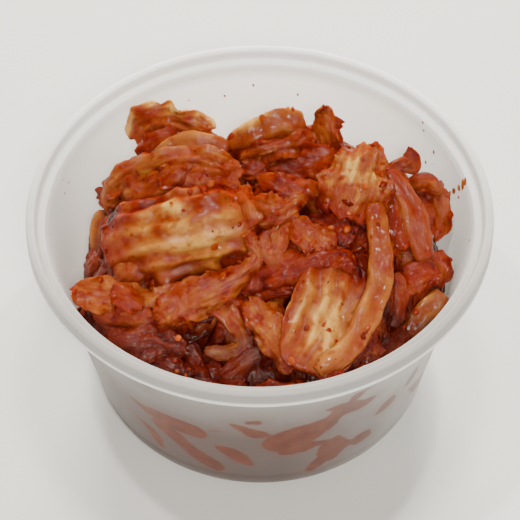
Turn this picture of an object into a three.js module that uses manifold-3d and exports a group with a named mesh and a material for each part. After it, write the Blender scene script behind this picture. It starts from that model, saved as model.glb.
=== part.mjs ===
// Kimchi, served in the round take-away tub it is sold in.
// Millimetres, +Z up, origin at the centre of the tub's base on the surface it stands on.
// Two solids: the thin-walled tub, and the heap, a smaller core with its cabbage pieces fused on.

import * as THREE from "three";
import { mergeVertices } from "three/addons/utils/BufferGeometryUtils.js";
import Module from "manifold-3d";

const wasm = await Module();
wasm.setup();

// Tub
const RIM_RADIUS = 59;        // outside of the rim's skirt
const TUB_HEIGHT = 62;
const BASE_RADIUS = 43;       // where the straight wall would meet the floor
const WALL_SLOPE = 0.1965;    // growth of the radius for each mm of height
const WALL = 0.7;
const FLOOR = 0.8;
const BASE_FILLET = 9;        // outside radius between wall and floor
const STAND_RADIUS = 33;      // ring the tub stands on
const STAND_HEIGHT = 0.8;
const LEDGE_HEIGHT = 59.4;    // step inside the rim that the lid sits on
const LEDGE_RADIUS = 56.4;
const BEAD_RADIUS = 56.9;     // inner side of the rim's top bead
const SKIRT = 4.5;            // how far the rim's outer skirt hangs down
const TUB_SIDES = 56;
const FILLET_STEPS = 3;
const FILLET_REACH = 0.8;     // how far the fillet reaches inwards, in its own radius
const FILLET_INSET = 0.15;    // its upper end lies this far inside the straight wall
const FILLET_FOOT = 0.25;     // height of its lower end
const STAND_BEVEL = 0.6;      // sloping edge of the hollow under the base
const STAND_MARGIN = 1;       // flat part of the stand ring before the fillet
const UNDER_SKIRT = 0.5;      // the wall's last point below the skirt
const LEDGE_WALL = 0.5;       // how far the wall stands outside the ledge
const LEDGE_DROP = 1.2;       // height over which the wall thickens towards the ledge
const LEDGE_SLOPE = 0.3;      // rise and run of the ledge's inner step
const LEDGE_EDGE = 0.1;       // the step's lower edge, inside the line of the wall
const RIM_THICK = 1;          // plastic between the top of the rim and its hollow
const SKIRT_WALL = 0.8;
const RIM_ROUND = 0.7;        // bevel round the rim's outer top edge
const BEAD_WIDTH = 0.4;       // bevel of the bead's inner top edge: its run on top,
const BEAD_INSET = 0.3;       // its run below,
const BEAD_DROP = 0.6;        // and its height

// Heap
const GAP = 0.35;             // free space kept between the heap and the tub
const CORE_RINGS = 12;
const CORE_SECTORS = 40;
const CORE_BOTTOM = 1.6;
const CORE_SINK = 0.35;       // the core's top below the middle of a piece, in its thickness
const CORE_LEVEL = 31;        // height of the core where nothing lies on it
const CORE_FALL = 2;          // how steeply the core falls away beside a piece
const CORE_CLEAR = 0.1;       // extra free space between the core and the tub
const CORE_LEFT_DROP = 8;     // how much lower the cabbage is packed at the far left,
const CORE_LEFT_REACH = 50;   // which is this far out
const SWELL = 1.2;            // slow swells of the core's top: height, and turns per mm
const SWELL_ACROSS = 0.31;
const SWELL_ALONG = 0.27;
const STEEP_FROM = 0.85;      // upward share of a piece's direction that counts as steep
const STEEP_DROP = 9;         // how far the core stays below a steep piece
const CORE_SMOOTH = 1.6;      // distance over which the core's top is averaged
const CORE_TOP_SETBACK = 0.2;
const CORE_EDGE_HEIGHT = 36;  // height at which the core's top edge meets the wall
const CORE_SIDE_HEIGHTS = [18, 10.5, 4.5];
const CORE_SIDE_FOOT = 10.5;  // below this the core's side curves in,
const CORE_SIDE_CURVE = 9;    // by this much at the very bottom
const WELD = 1e-3;            // points nearer than this are one
const LEAST_WIDTH = 1;        // a piece is never narrower than this
const RUFFLE_SHAPE = 1.5;     // how much of the ruffle stays near the edges
const SIDE_PHASE = 2.1;       // how far the two edges' waves are out of step

// Pieces pressed along the wall, all round: how many, and where each may lie.
const PACKED = {
  count: 15, seed: 4177, jitter: [0.3, 0.4], radius: [41.5, 2], height: [35, 2], back: 3,
  width: [9, 4], steps: [-1, -0.35, 0.35, 1], span: [0.2, 0.05], wander: 1.5, rise: 2.5,
  taper: 0.45, lean: 0.6, arc: [40, 40], stemEvery: 3,
};

// Each kind of cabbage piece: thickness in the middle and at the edge, how high and how
// long the waves of its edges are, and the size of its mesh cells.
const KINDS = {
  stem: { middle: 3.6, edge: 1.7, ruffle: 0.3, wavelength: 20, cell: 4.3 },
  fold: { middle: 2.2, edge: 1.5, ruffle: 0.5, wavelength: 13, cell: 3.6 },
  strip: { middle: 1.7, edge: 1.3, ruffle: 0.4, wavelength: 12, cell: 3.2 },
  leaf: { middle: 1.5, edge: 1.3, ruffle: 0.9, wavelength: 12, cell: 3.9 },
};

// The pieces that show: the way the outer side faces, the bend across in degrees (a half
// tube has 180, a hollow one is negative), and the middle line's x, y, z and width.
const PIECES = {
  broad_stem: {
    kind: "stem", face: [-1, -6, 8], arc: 95,
    spine: [
      [-37, -3, 50, 24], [-29, -5, 55, 27], [-19, -6, 58, 27], [-11, -5, 59, 25],
      [-3, -2, 58, 20]
    ],
  },
  pale_cup: {
    kind: "stem", face: [0, -6, 8], arc: -30,
    spine: [[20, -10, 53, 12], [18, -18, 50, 18], [15, -28, 46, 20], [11, -36, 41, 14]],
  },
  stem_band: {
    kind: "stem", face: [4, -6, 7], arc: 90,
    spine: [
      [29, 2, 61, 4], [30, -8, 59, 6], [30, -17, 56, 6], [27, -25, 52, 6], [22, -32, 48, 6],
      [14, -37, 43, 5]
    ],
  },
  wide_leaf: {
    kind: "leaf", face: [0, -6, 8], arc: 50,
    spine: [[27, 18, 66, 8], [26, 12, 66, 14], [24, 7, 64, 18], [22, 1, 61, 17]],
  },
  cup_leaf: {
    kind: "leaf", face: [-2, -6, 8], arc: 40,
    spine: [[-3, -18, 47, 4], [0, -23, 46, 8], [4, -28, 44, 9], [8, -35, 41, 6]],
  },
  membrane: {
    kind: "leaf", face: [0, -5, 8], arc: -50,
    spine: [[12, 5, 55, 9], [18, -1, 57, 13], [24, -5, 56, 10]],
  },
  lip_band: {
    kind: "fold", face: [0, -6, 7], arc: 110,
    spine: [
      [-4, -15, 48, 4], [3, -14, 50, 8], [9, -13, 52, 8], [15, -11, 54, 7],
      [20, -11, 55, 5], [23, -14, 54, 3]
    ],
  },
  lip_under: {
    kind: "fold", face: [0, -7, 7], arc: 70,
    spine: [[-2, -15, 46, 4], [4, -15, 48, 5], [11, -14, 49, 4]],
  },
  blade_mid: {
    kind: "leaf", face: [1, -6, 8], arc: 40,
    spine: [[8, -1, 61, 3], [11, -5, 59, 8], [14, -7, 57, 9], [18, -9, 55, 6]],
  },
  strip_short: {
    kind: "strip", face: [-2, -6, 7], arc: 80,
    spine: [[8, 1, 60, 3], [5, -3, 58, 4], [4, -7, 56, 4], [1, -10, 54, 4]],
  },
  strip_bent: {
    kind: "strip", face: [0, -6, 8], arc: 80,
    spine: [[2, -2, 57, 3], [1, -6, 56, 4], [2, -10, 55, 4], [6, -11, 54, 4], [10, -8, 54, 3]],
  },
  tongue: {
    kind: "fold", face: [-2, -6, 8], arc: 120,
    spine: [[-4, 9, 61, 3], [-4, 2, 62, 5], [-3, -3, 60, 6], [-2, -4, 58, 3]],
  },
  mid_ruffle: {
    kind: "leaf", face: [-1, -6, 8], arc: 60,
    spine: [[-4, 3, 60, 8], [2, -1, 62, 9], [7, 0, 62, 7], [11, 4, 61, 3]],
  },
  top_ruffle: {
    kind: "leaf", face: [0, -6, 8], arc: 70,
    spine: [[0, 11, 62, 3], [5, 7, 63, 7], [11, 6, 62, 7], [16, 8, 60, 2]],
  },
  sweeping_leaf: {
    kind: "leaf", face: [1, -6, 8], arc: 60,
    spine: [
      [-26, -22, 43, 4], [-22, -20, 46, 9], [-17, -18, 48, 11], [-11, -16, 50, 9],
      [-5, -14, 52, 6], [-1, -10, 54, 4], [-2, -6, 57, 3], [-4, -2, 59, 2]
    ],
  },
  hanging_hook: {
    kind: "strip", face: [1, -6, 8], arc: 50,
    spine: [
      [-12, -18, 46, 4], [-8, -21, 44, 4], [-5, -24, 41, 5], [-5, -26, 39, 5],
      [-8, -27, 38, 5], [-14, -26, 38, 2]
    ],
  },
  dark_roll: {
    kind: "fold", face: [0, -7, 7], arc: 120,
    spine: [[-24, -20, 41, 6], [-18, -20, 42, 8], [-11, -19, 43, 6]],
  },
  dark_roll_low: {
    kind: "fold", face: [0, -7, 7], arc: 110,
    spine: [[-24, -20, 38, 4], [-19, -22, 38, 5], [-13, -21, 39, 3]],
  },
  front_left_leaf: {
    kind: "leaf", face: [0, -5, 8], arc: 60,
    spine: [[-38, -21, 40, 6], [-32, -24, 40, 10], [-26, -25, 39, 9], [-19, -26, 38, 5]],
  },
  wall_scrap: {
    kind: "leaf", face: [-2, -6, 8], arc: 60,
    spine: [[-44, -15, 38, 3], [-41, -19, 38, 5], [-38, -23, 37, 4]],
  },
  deep_left: {
    kind: "leaf", face: [0, -5, 8], arc: 80,
    spine: [[-32, -27, 36, 5], [-25, -30, 36, 7], [-17, -33, 36, 5]],
  },
  deep_middle: {
    kind: "stem", face: [0, -5, 8], arc: 110,
    spine: [[-20, -24, 36, 5], [-17, -28, 35, 7], [-15, -34, 35, 6]],
  },
  deep_right: {
    kind: "stem", face: [1, -5, 8], arc: 110,
    spine: [[-13, -25, 36, 5], [-11, -30, 35, 6], [-9, -35, 35, 5]],
  },
  low_band: {
    kind: "strip", face: [0, -6, 8], arc: 70,
    spine: [[-9, -35, 36, 4], [-5, -32, 37, 6], [0, -29, 38, 5], [4, -27, 39, 3]],
  },
  low_red: {
    kind: "leaf", face: [0, -5, 8], arc: 70,
    spine: [[-4, -23, 38, 7], [0, -28, 38, 9], [4, -33, 37, 9]],
  },
  low_front: {
    kind: "leaf", face: [0, -5, 8], arc: 60,
    spine: [[-3, -36, 36, 6], [3, -34, 36, 8], [8, -33, 37, 6]],
  },
  back_ruffle: {
    kind: "leaf", face: [-2, -8, 5], arc: 30,
    spine: [
      [-32, 30, 54, 9], [-28, 32, 58, 13], [-24, 31, 60, 11], [-18, 29, 61, 9],
      [-12, 27, 61, 6]
    ],
  },
  back_fold: {
    kind: "fold", face: [-1, -8, 5], arc: 60,
    spine: [[-30, 25, 51, 6], [-26, 26, 56, 8], [-20, 26, 59, 7]],
  },
  crescent_stem: {
    kind: "stem", face: [0, -6, 8], arc: 90,
    spine: [[-28, 24, 54, 4], [-22, 23, 60, 6], [-15, 23, 62, 7], [-8, 22, 60, 4]],
  },
  arched_band: {
    kind: "fold", face: [0, -6, 7], arc: 110,
    spine: [
      [-40, 17, 43, 4], [-38, 18, 49, 5], [-34, 18, 55, 6], [-27, 18, 59, 6],
      [-19, 17, 62, 6], [-12, 16, 62, 6], [-5, 14, 60, 4]
    ],
  },
  under_arch: {
    kind: "leaf", face: [0, -6, 8], arc: 30,
    spine: [
      [-37, 15, 44, 7], [-31, 16, 50, 9], [-24, 15, 55, 8], [-15, 15, 57, 8],
      [-5, 12, 58, 6]
    ],
  },
  folded_tab: {
    kind: "leaf", face: [-1, -7, 7], arc: 40,
    spine: [[-19, 14, 61, 3], [-22, 12, 60, 5], [-26, 13, 58, 3]],
  },
  scrap_high: {
    kind: "leaf", face: [-3, -6, 7], arc: 30,
    spine: [[-41, 23, 48, 3], [-39, 20, 49, 5], [-37, 15, 50, 4]],
  },
  scrap_side: {
    kind: "leaf", face: [-4, -6, 6], arc: 40,
    spine: [[-43, 20, 44, 3], [-41, 19, 46, 4], [-38, 15, 46, 4]],
  },
  pale_left: {
    kind: "stem", face: [-6, -5, 6], arc: 60,
    spine: [[-41, 18, 41, 3], [-43, 17, 38, 5], [-43, 14, 34, 5], [-42, 10, 30, 3]],
  },
  dark_left: {
    kind: "fold", face: [-5, -5, 6], arc: 100,
    spine: [[-40, 13, 45, 3], [-40, 11, 43, 5], [-39, 9, 41, 4]],
  },
  ribbon_left: {
    kind: "fold", face: [-4, -5, 7], arc: 110,
    spine: [[-38, 11, 48, 5], [-38, 6, 47, 5], [-39, 3, 45, 5], [-37, -1, 42, 4]],
  },
  flap_left: {
    kind: "leaf", face: [-2, -6, 8], arc: 50,
    spine: [[-27, -7, 55, 3], [-32, -4, 53, 6], [-36, -2, 50, 6]],
  },
  side_low: {
    kind: "leaf", face: [-4, -5, 7], arc: 60,
    spine: [[-40, 3, 38, 4], [-42, 3, 34, 5], [-44, 3, 30, 3]],
  },
  tan_roll: {
    kind: "fold", face: [-2, -6, 7], arc: 90,
    spine: [[-27, -7, 50, 6], [-33, -8, 47, 7], [-37, -9, 43, 6]],
  },
  lower_left_leaf: {
    kind: "leaf", face: [0, -5, 8], arc: 30,
    spine: [[-27, -15, 43, 6], [-35, -15, 45, 9], [-42, -15, 47, 9], [-48, -16, 49, 3]],
  },
  ruffle_ring: {
    kind: "strip", face: [0, -4, 9], arc: 80,
    spine: [
      [-37, -14, 47, 3], [-34, -15, 49, 3], [-31, -18, 48, 3], [-34, -20, 46, 3],
      [-38, -18, 45, 3]
    ],
  },
  lower_lip: {
    kind: "fold", face: [-1, -7, 7], arc: 110,
    spine: [[-42, -16, 43, 3], [-38, -19, 42, 5], [-32, -20, 43, 5], [-27, -18, 44, 4]],
  },
  pale_under: {
    kind: "strip", face: [0, -5, 8], arc: 40,
    spine: [[-31, -15, 44, 3], [-26, -16, 46, 4], [-21, -13, 47, 3]],
  },
  finger_inner: {
    kind: "stem", face: [0, -6, 8], arc: 140,
    spine: [[32, 16, 60, 3], [33, 7, 58, 5], [34, 0, 55, 6], [36, -5, 51, 5]],
  },
  finger_outer: {
    kind: "stem", face: [2, -6, 8], arc: 130,
    spine: [[33, 14, 60, 4], [37, 7, 58, 6], [40, 0, 55, 8], [42, -7, 50, 6]],
  },
  curl: {
    kind: "strip", face: [0, -8, 5], arc: 40,
    spine: [
      [38, 14, 52, 3], [37, 16, 55, 3], [35, 17, 57, 3], [37, 18, 58, 3], [40, 17, 58, 3],
      [40, 19, 60, 3], [38, 21, 61, 3]
    ],
  },
  cup_right: {
    kind: "leaf", face: [-3, -7, 6], arc: -80,
    spine: [[43, 18, 50, 6], [45, 15, 47, 10], [46, 11, 44, 10], [45, 7, 41, 4]],
  },
  cup_rim: {
    kind: "fold", face: [0, -7, 7], arc: 90,
    spine: [[38, 17, 50, 3], [41, 17, 52, 4], [44, 17, 52, 4], [46, 15, 52, 3], [48, 17, 51, 3]],
  },
  cup_edge: {
    kind: "strip", face: [-2, -6, 7], arc: 90,
    spine: [[47, 16, 51, 3], [47, 12, 47, 4], [46, 9, 43, 4]],
  },
  right_leaf: {
    kind: "leaf", face: [0, -6, 8], arc: 60,
    spine: [[36, -12, 44, 4], [39, -11, 46, 8], [43, -9, 46, 8], [46, -8, 45, 3]],
  },
  right_wall_leaf: {
    kind: "leaf", face: [-1, -6, 8], arc: 40,
    spine: [[44, -1, 46, 5], [46, -4, 43, 6], [47, -7, 39, 4]],
  },
  right_blade: {
    kind: "strip", face: [2, -6, 7], arc: 80,
    spine: [[34, -10, 48, 3], [35, -15, 44, 5], [33, -20, 39, 4]],
  },
  green_stem: {
    kind: "stem", face: [0, -6, 8], arc: 120,
    spine: [[40, -10, 40, 5], [37, -13, 39, 6], [35, -17, 38, 4]],
  },
  pale_slab: {
    kind: "stem", face: [0, -6, 8], arc: 70,
    spine: [[47, -10, 40, 5], [44, -13, 39, 7], [41, -17, 38, 7], [37, -21, 37, 5]],
  },
  low_right: {
    kind: "leaf", face: [0, -6, 8], arc: 60,
    spine: [[28, -23, 38, 4], [31, -25, 37, 7], [35, -24, 37, 5]],
  },
  top_slab: {
    kind: "stem", face: [-1, -7, 6], arc: 60,
    spine: [[-8, 24, 60, 4], [-1, 25, 63, 7], [6, 26, 65, 8], [12, 28, 65, 5]],
  },
  top_slab_under: {
    kind: "leaf", face: [0, -7, 6], arc: 80,
    spine: [[-5, 21, 58, 4], [3, 22, 60, 7], [10, 23, 62, 8], [14, 27, 62, 5]],
  },
  brown_under: {
    kind: "leaf", face: [0, -6, 8], arc: 60,
    spine: [[-5, 21, 57, 5], [-2, 19, 57, 8], [1, 21, 57, 6]],
  },
  top_spike: {
    kind: "leaf", face: [0, -9, 4], arc: -60,
    spine: [[19, 22, 56, 8], [18, 25, 60, 8], [17, 28, 65, 6], [17, 30, 68, 3]],
  },
  spike_red: {
    kind: "strip", face: [2, -8, 5], arc: 60,
    spine: [[21, 23, 58, 3], [20, 25, 61, 4], [19, 27, 63, 4], [22, 28, 63, 2]],
  },
  cavity_leaf: {
    kind: "leaf", face: [0, -6, 8], arc: 20,
    spine: [[3, 20, 55, 7], [10, 20, 57, 9], [16, 19, 58, 9], [21, 16, 60, 6]],
  },
};

const wallRadius = (z) => BASE_RADIUS + WALL_SLOPE * z;
const insideRadius = (z) => wallRadius(z) - WALL - GAP - CORE_CLEAR;

// The same small random draws each time.
function makeRandom(seed) {
  let state = seed;
  return () => {
    state = (state * 16807) % 2147483647;
    return state / 2147483647;
  };
}

// The tub's wall is one closed profile, turned round the axis.
function makeTub() {
  const filletStart = wallRadius(BASE_FILLET) - FILLET_INSET;
  const floorRadius = filletStart - BASE_FILLET * FILLET_REACH;
  const profile = [
    [0, STAND_HEIGHT],
    [STAND_RADIUS - 2 * STAND_BEVEL, STAND_HEIGHT],
    [STAND_RADIUS - STAND_BEVEL, 0],
    [floorRadius - STAND_MARGIN, 0],
  ];
  for (let i = 0; i <= FILLET_STEPS; i++) {
    const turn = (i / FILLET_STEPS) * (Math.PI / 2);
    profile.push([
      floorRadius + (filletStart - floorRadius) * Math.sin(turn),
      FILLET_FOOT + (BASE_FILLET - FILLET_FOOT) * (1 - Math.cos(turn)),
    ]);
  }
  const skirtEnd = TUB_HEIGHT - SKIRT;
  const wallTop = LEDGE_HEIGHT - LEDGE_DROP;
  profile.push(
    [wallRadius(skirtEnd - UNDER_SKIRT), skirtEnd - UNDER_SKIRT],
    [wallRadius(LEDGE_HEIGHT - RIM_THICK), LEDGE_HEIGHT - RIM_THICK],
    [LEDGE_RADIUS + LEDGE_WALL, LEDGE_HEIGHT - LEDGE_DROP / 2],
    [BEAD_RADIUS + LEDGE_SLOPE, TUB_HEIGHT - RIM_THICK],
    [RIM_RADIUS - RIM_THICK, TUB_HEIGHT - RIM_THICK],
    [RIM_RADIUS - SKIRT_WALL, skirtEnd],
    [RIM_RADIUS, skirtEnd],
    [RIM_RADIUS, TUB_HEIGHT - RIM_ROUND],
    [RIM_RADIUS - RIM_ROUND, TUB_HEIGHT],
    [BEAD_RADIUS + BEAD_WIDTH, TUB_HEIGHT],
    [BEAD_RADIUS - BEAD_INSET, TUB_HEIGHT - BEAD_DROP],
    [LEDGE_RADIUS - LEDGE_SLOPE, LEDGE_HEIGHT + LEDGE_SLOPE],
    [wallRadius(LEDGE_HEIGHT) - LEDGE_EDGE, LEDGE_HEIGHT],
    [wallRadius(wallTop) - WALL, wallTop]
  );
  for (let i = FILLET_STEPS; i >= 0; i--) {
    const turn = (i / FILLET_STEPS) * (Math.PI / 2);
    const inner = filletStart - WALL;
    profile.push([
      floorRadius - WALL + (inner - floorRadius + WALL) * Math.sin(turn),
      STAND_HEIGHT + FLOOR + (BASE_FILLET - FLOOR) * (1 - Math.cos(turn)),
    ]);
  }
  profile.push([0, STAND_HEIGHT + FLOOR]);
  const points = profile.map(([radius, z]) => new THREE.Vector2(radius, z));
  return new THREE.LatheGeometry(points, TUB_SIDES).rotateX(Math.PI / 2);
}

// Value along a piece's middle line, by the same spline as its points.
function along(values, at) {
  const line = values.map((value) => new THREE.Vector3(value, 0, 0));
  return new THREE.CatmullRomCurve3(line, false, "catmullrom", 0.5).getPoint(at).x;
}

// Everything stays inside the tub: what would reach past the wall is pressed against it.
function keepInside(point) {
  const limit = insideRadius(point.z);
  const radius = Math.hypot(point.x, point.y);
  if (radius > limit) {
    point.x *= limit / radius;
    point.y *= limit / radius;
  }
  return point;
}

// The middle surface of a piece as a grid of points with their outward directions.
function pieceGrid({ kind, face, arc, spine }, order) {
  const form = KINDS[kind];
  const middle = new THREE.CatmullRomCurve3(
    spine.map(([x, y, z]) => new THREE.Vector3(x, y, z)), false, "catmullrom", 0.5);
  const widths = spine.map((point) => point[3]);
  const length = middle.getLength();
  const rows = Math.max(3, Math.round(length / form.cell));
  const columns = Math.max(2, Math.round(Math.max(...widths) / form.cell));
  const outward = new THREE.Vector3(...face);
  const halfArc = THREE.MathUtils.degToRad(arc) / 2;
  const grid = [];
  for (let i = 0; i <= rows; i++) {
    const u = i / rows;
    const centre = middle.getPoint(u);
    const forward = middle.getTangent(u);
    const normal = outward.clone().addScaledVector(forward, -forward.dot(outward)).normalize();
    const side = new THREE.Vector3().crossVectors(forward, normal);
    const halfWidth = Math.max(along(widths, u), LEAST_WIDTH) / 2;
    const row = [];
    for (let j = 0; j <= columns; j++) {
      const v = (2 * j) / columns - 1;
      const turn = v * halfArc;
      const across = halfWidth * Math.sin(turn) / halfArc;
      const drop = halfWidth * (Math.cos(turn) - 1) / halfArc;
      const wave = 2 * Math.PI * u * length / form.wavelength + SIDE_PHASE * Math.sign(v) + order;
      const lift = drop + form.ruffle * Math.pow(Math.abs(v), RUFFLE_SHAPE) * Math.sin(wave);
      const outwardHere = normal.clone().multiplyScalar(Math.cos(turn))
        .addScaledVector(side, Math.sin(turn));
      const thickness = form.edge + (form.middle - form.edge) * (1 - v * v);
      row.push({
        point: centre.clone().addScaledVector(side, across).addScaledVector(normal, lift),
        outward: outwardHere,
        thickness,
      });
    }
    grid.push(row);
  }
  return grid;
}

// A closed solid from a grid: both faces split alike, and a band round the edge.
function gridSolid(grid) {
  const rows = grid.length;
  const columns = grid[0].length;
  const positions = [];
  for (const sign of [0.5, -0.5]) {
    for (const row of grid) {
      for (const { point, outward, thickness } of row) {
        const place = keepInside(point.clone().addScaledVector(outward, sign * thickness));
        positions.push(place.x, place.y, place.z);
      }
    }
  }
  const under = rows * columns;
  const at = (i, j) => i * columns + j;
  const triangles = [];
  for (let i = 0; i < rows - 1; i++) {
    for (let j = 0; j < columns - 1; j++) {
      const [a, b, c, d] = [at(i, j), at(i + 1, j), at(i + 1, j + 1), at(i, j + 1)];
      triangles.push(a, b, c, a, c, d);
      triangles.push(under + a, under + c, under + b, under + a, under + d, under + c);
    }
  }
  const edge = [];
  for (let j = 0; j < columns - 1; j++) edge.push(at(0, j));
  for (let i = 0; i < rows - 1; i++) edge.push(at(i, columns - 1));
  for (let j = columns - 1; j > 0; j--) edge.push(at(rows - 1, j));
  for (let i = rows - 1; i > 0; i--) edge.push(at(i, 0));
  edge.forEach((from, k) => {
    const to = edge[(k + 1) % edge.length];
    triangles.push(from, to, under + to, from, under + to, under + from);
  });
  return toSolid(positions, triangles);
}

// A closed triangle mesh as a solid, turned the right way out.
function toSolid(positions, triangles) {
  const make = (order) => new wasm.Manifold(new wasm.Mesh({
    numProp: 3,
    vertProperties: Float32Array.from(positions),
    triVerts: Uint32Array.from(order),
  }));
  const solid = make(triangles);
  if (solid.volume() > 0) return solid;
  const turned = [];
  for (let k = 0; k < triangles.length; k += 3) {
    turned.push(triangles[k], triangles[k + 2], triangles[k + 1]);
  }
  return make(turned);
}

// Pieces pressed along the wall behind and below the ones that show, by a seeded rule.
function packedPieces() {
  const random = makeRandom(PACKED.seed);
  const between = ([least, more]) => least + more * random();
  const pieces = [];
  for (let k = 0; k < PACKED.count; k++) {
    const turn = (k + between(PACKED.jitter)) * (2 * Math.PI / PACKED.count);
    const left = Math.max(0, -Math.cos(turn));
    const back = Math.max(0, Math.sin(turn));
    const radius = between(PACKED.radius);
    const height = PACKED.back * back - CORE_LEFT_DROP * left * left + between(PACKED.height);
    const width = between(PACKED.width);
    const spine = PACKED.steps.map((step) => {
      const angle = turn + step * between(PACKED.span);
      const reach = radius + PACKED.wander * random();
      return [reach * Math.cos(angle), reach * Math.sin(angle), height + PACKED.rise * random(),
        width * (1 - PACKED.taper * step * step)];
    });
    const face = [PACKED.lean * Math.cos(turn), PACKED.lean * Math.sin(turn), 1];
    const kind = k % PACKED.stemEvery ? "leaf" : "stem";
    pieces.push({ kind, face, arc: between(PACKED.arc), spine });
  }
  return pieces;
}

// The core: a round body that fills the tub below the pieces, and rises under each of them.
function makeCore(grids) {
  const inner = grids.flatMap((grid) => grid.flatMap((row) => row.slice(1, -1)));
  const supports = inner.map(({ point, outward, thickness }) => ({
    point,
    top: point.z - CORE_SINK * thickness
      - STEEP_DROP * Math.pow(Math.max(0, STEEP_FROM - outward.z), 2),
  }));
  const height = (x, y) => {
    const left = Math.max(0, -x / CORE_LEFT_REACH);
    const swell = SWELL * Math.sin(SWELL_ACROSS * x + 1) * Math.cos(SWELL_ALONG * y);
    let top = CORE_LEVEL - CORE_LEFT_DROP * left * left + swell;
    for (const support of supports) {
      const away = Math.max(0, Math.hypot(support.point.x - x, support.point.y - y) - 1);
      top = Math.max(top, support.top - CORE_FALL * away);
    }
    return top;
  };
  const around = [[0, 0], [1, 0], [-1, 0], [0, 1], [0, -1]];
  const surface = (x, y) => around.reduce((sum, [dx, dy]) =>
    sum + height(x + dx * CORE_SMOOTH, y + dy * CORE_SMOOTH), 0) / around.length;
  const rings = [];
  for (let i = 1; i <= CORE_RINGS; i++) {
    rings.push((k) => {
      const turn = 2 * Math.PI * k / CORE_SECTORS;
      const reach = (i / CORE_RINGS) * (insideRadius(CORE_EDGE_HEIGHT) - CORE_TOP_SETBACK);
      const x = reach * Math.cos(turn);
      const y = reach * Math.sin(turn);
      return keepInside(new THREE.Vector3(x, y, surface(x, y)));
    });
  }
  for (const z of [...CORE_SIDE_HEIGHTS, CORE_BOTTOM + STAND_HEIGHT]) {
    const shrink = Math.max(0, CORE_SIDE_FOOT - z) / BASE_FILLET;
    const reach = (insideRadius(z) - CORE_SIDE_CURVE * shrink * shrink)
      / Math.cos(Math.PI / CORE_SECTORS);
    rings.push((k) => {
      const turn = 2 * Math.PI * k / CORE_SECTORS;
      return keepInside(new THREE.Vector3(reach * Math.cos(turn), reach * Math.sin(turn), z));
    });
  }
  const positions = [0, 0, surface(0, 0)];
  for (const ring of rings) {
    for (let k = 0; k < CORE_SECTORS; k++) {
      const place = ring(k);
      positions.push(place.x, place.y, place.z);
    }
  }
  positions.push(0, 0, CORE_BOTTOM + STAND_HEIGHT);
  const triangles = [];
  const at = (i, k) => 1 + i * CORE_SECTORS + (k % CORE_SECTORS);
  const last = 1 + rings.length * CORE_SECTORS;
  for (let k = 0; k < CORE_SECTORS; k++) {
    triangles.push(0, at(0, k), at(0, k + 1));
    for (let i = 0; i < rings.length - 1; i++) {
      triangles.push(at(i, k), at(i + 1, k), at(i + 1, k + 1));
      triangles.push(at(i, k), at(i + 1, k + 1), at(i, k + 1));
    }
    triangles.push(last, at(rings.length - 1, k + 1), at(rings.length - 1, k));
  }
  return toSolid(positions, triangles);
}

// The joined heap: its largest body only, so loose scraps and sealed hollows drop out.
function makeHeap() {
  const pieces = [...Object.values(PIECES), ...packedPieces()];
  const grids = pieces.map(pieceGrid);
  const joined = grids.map(gridSolid).reduce((heap, piece) => heap.add(piece), makeCore(grids));
  const bodies = joined.decompose().sort((a, b) => b.volume() - a.volume());
  return toGeometry(bodies[0]);
}

function toGeometry(solid) {
  const { vertProperties, triVerts } = solid.getMesh();
  const geometry = new THREE.BufferGeometry();
  geometry.setAttribute("position", new THREE.Float32BufferAttribute(vertProperties, 3));
  geometry.setIndex(Array.from(triVerts));
  return mergeVertices(geometry, WELD);
}

function namedMesh(name, geometry, settings) {
  const mesh = new THREE.Mesh(geometry, new THREE.MeshStandardMaterial(settings));
  mesh.name = name;
  return mesh;
}

const served = new THREE.Group();
served.add(
  namedMesh("tub", makeTub(), {
    color: 0xd9d7d2, roughness: 0.45, metalness: 0, transparent: true, opacity: 0.6,
  }),
  namedMesh("kimchi", makeHeap(), { color: 0xb5572a, roughness: 0.35, metalness: 0 })
);

export default served;
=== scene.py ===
# %% [markdown]
# # A tub of kimchi
# Kimchi is salted cabbage, cut up and fermented in a paste of red chilli, garlic and ginger. It
# is served here in the round frosted tub it is sold in. The tub and the heap already exist as
# rough solids of the right size, and this lesson dresses them. All sizes are in millimetres
# while a piece is being made, and become metres when its mesh is built.

# %% Load the fixed model
import math

import bpy
import numpy as np
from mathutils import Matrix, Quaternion, Vector


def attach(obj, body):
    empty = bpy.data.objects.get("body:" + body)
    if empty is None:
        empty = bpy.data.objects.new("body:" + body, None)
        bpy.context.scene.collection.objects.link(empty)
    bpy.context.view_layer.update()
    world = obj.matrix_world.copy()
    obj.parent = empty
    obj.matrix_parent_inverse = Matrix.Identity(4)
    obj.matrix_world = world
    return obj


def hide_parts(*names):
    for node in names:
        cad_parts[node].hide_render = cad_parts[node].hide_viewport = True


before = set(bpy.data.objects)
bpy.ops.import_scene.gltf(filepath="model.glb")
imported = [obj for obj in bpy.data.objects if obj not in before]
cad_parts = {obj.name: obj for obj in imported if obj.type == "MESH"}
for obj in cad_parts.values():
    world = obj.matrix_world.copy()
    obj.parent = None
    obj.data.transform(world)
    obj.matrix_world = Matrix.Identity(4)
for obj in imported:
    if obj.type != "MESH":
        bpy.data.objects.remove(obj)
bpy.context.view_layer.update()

MM = 0.001
print("fixed nodes:", sorted(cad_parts))

# %% [markdown]
# ## The camera
# The camera looks down from in front and rather high up, so that the tub's mouth shows as a broad
# ellipse. A long lens from more than half a metre away keeps that ellipse calm. It points inside
# the heap, and is then turned by half a degree about its own line of sight.

# %% Set up the camera
CAMERA_AWAY = 580.0       # from the middle of the tub's mouth
CAMERA_HEIGHT = 48.34     # degrees above the table
CAMERA_AIM = (-0.02, 1.77, 40.0)
CAMERA_ROLL = -0.52       # degrees
CAMERA_LENS = 159.2
TUB_HEIGHT = 62.0

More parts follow.
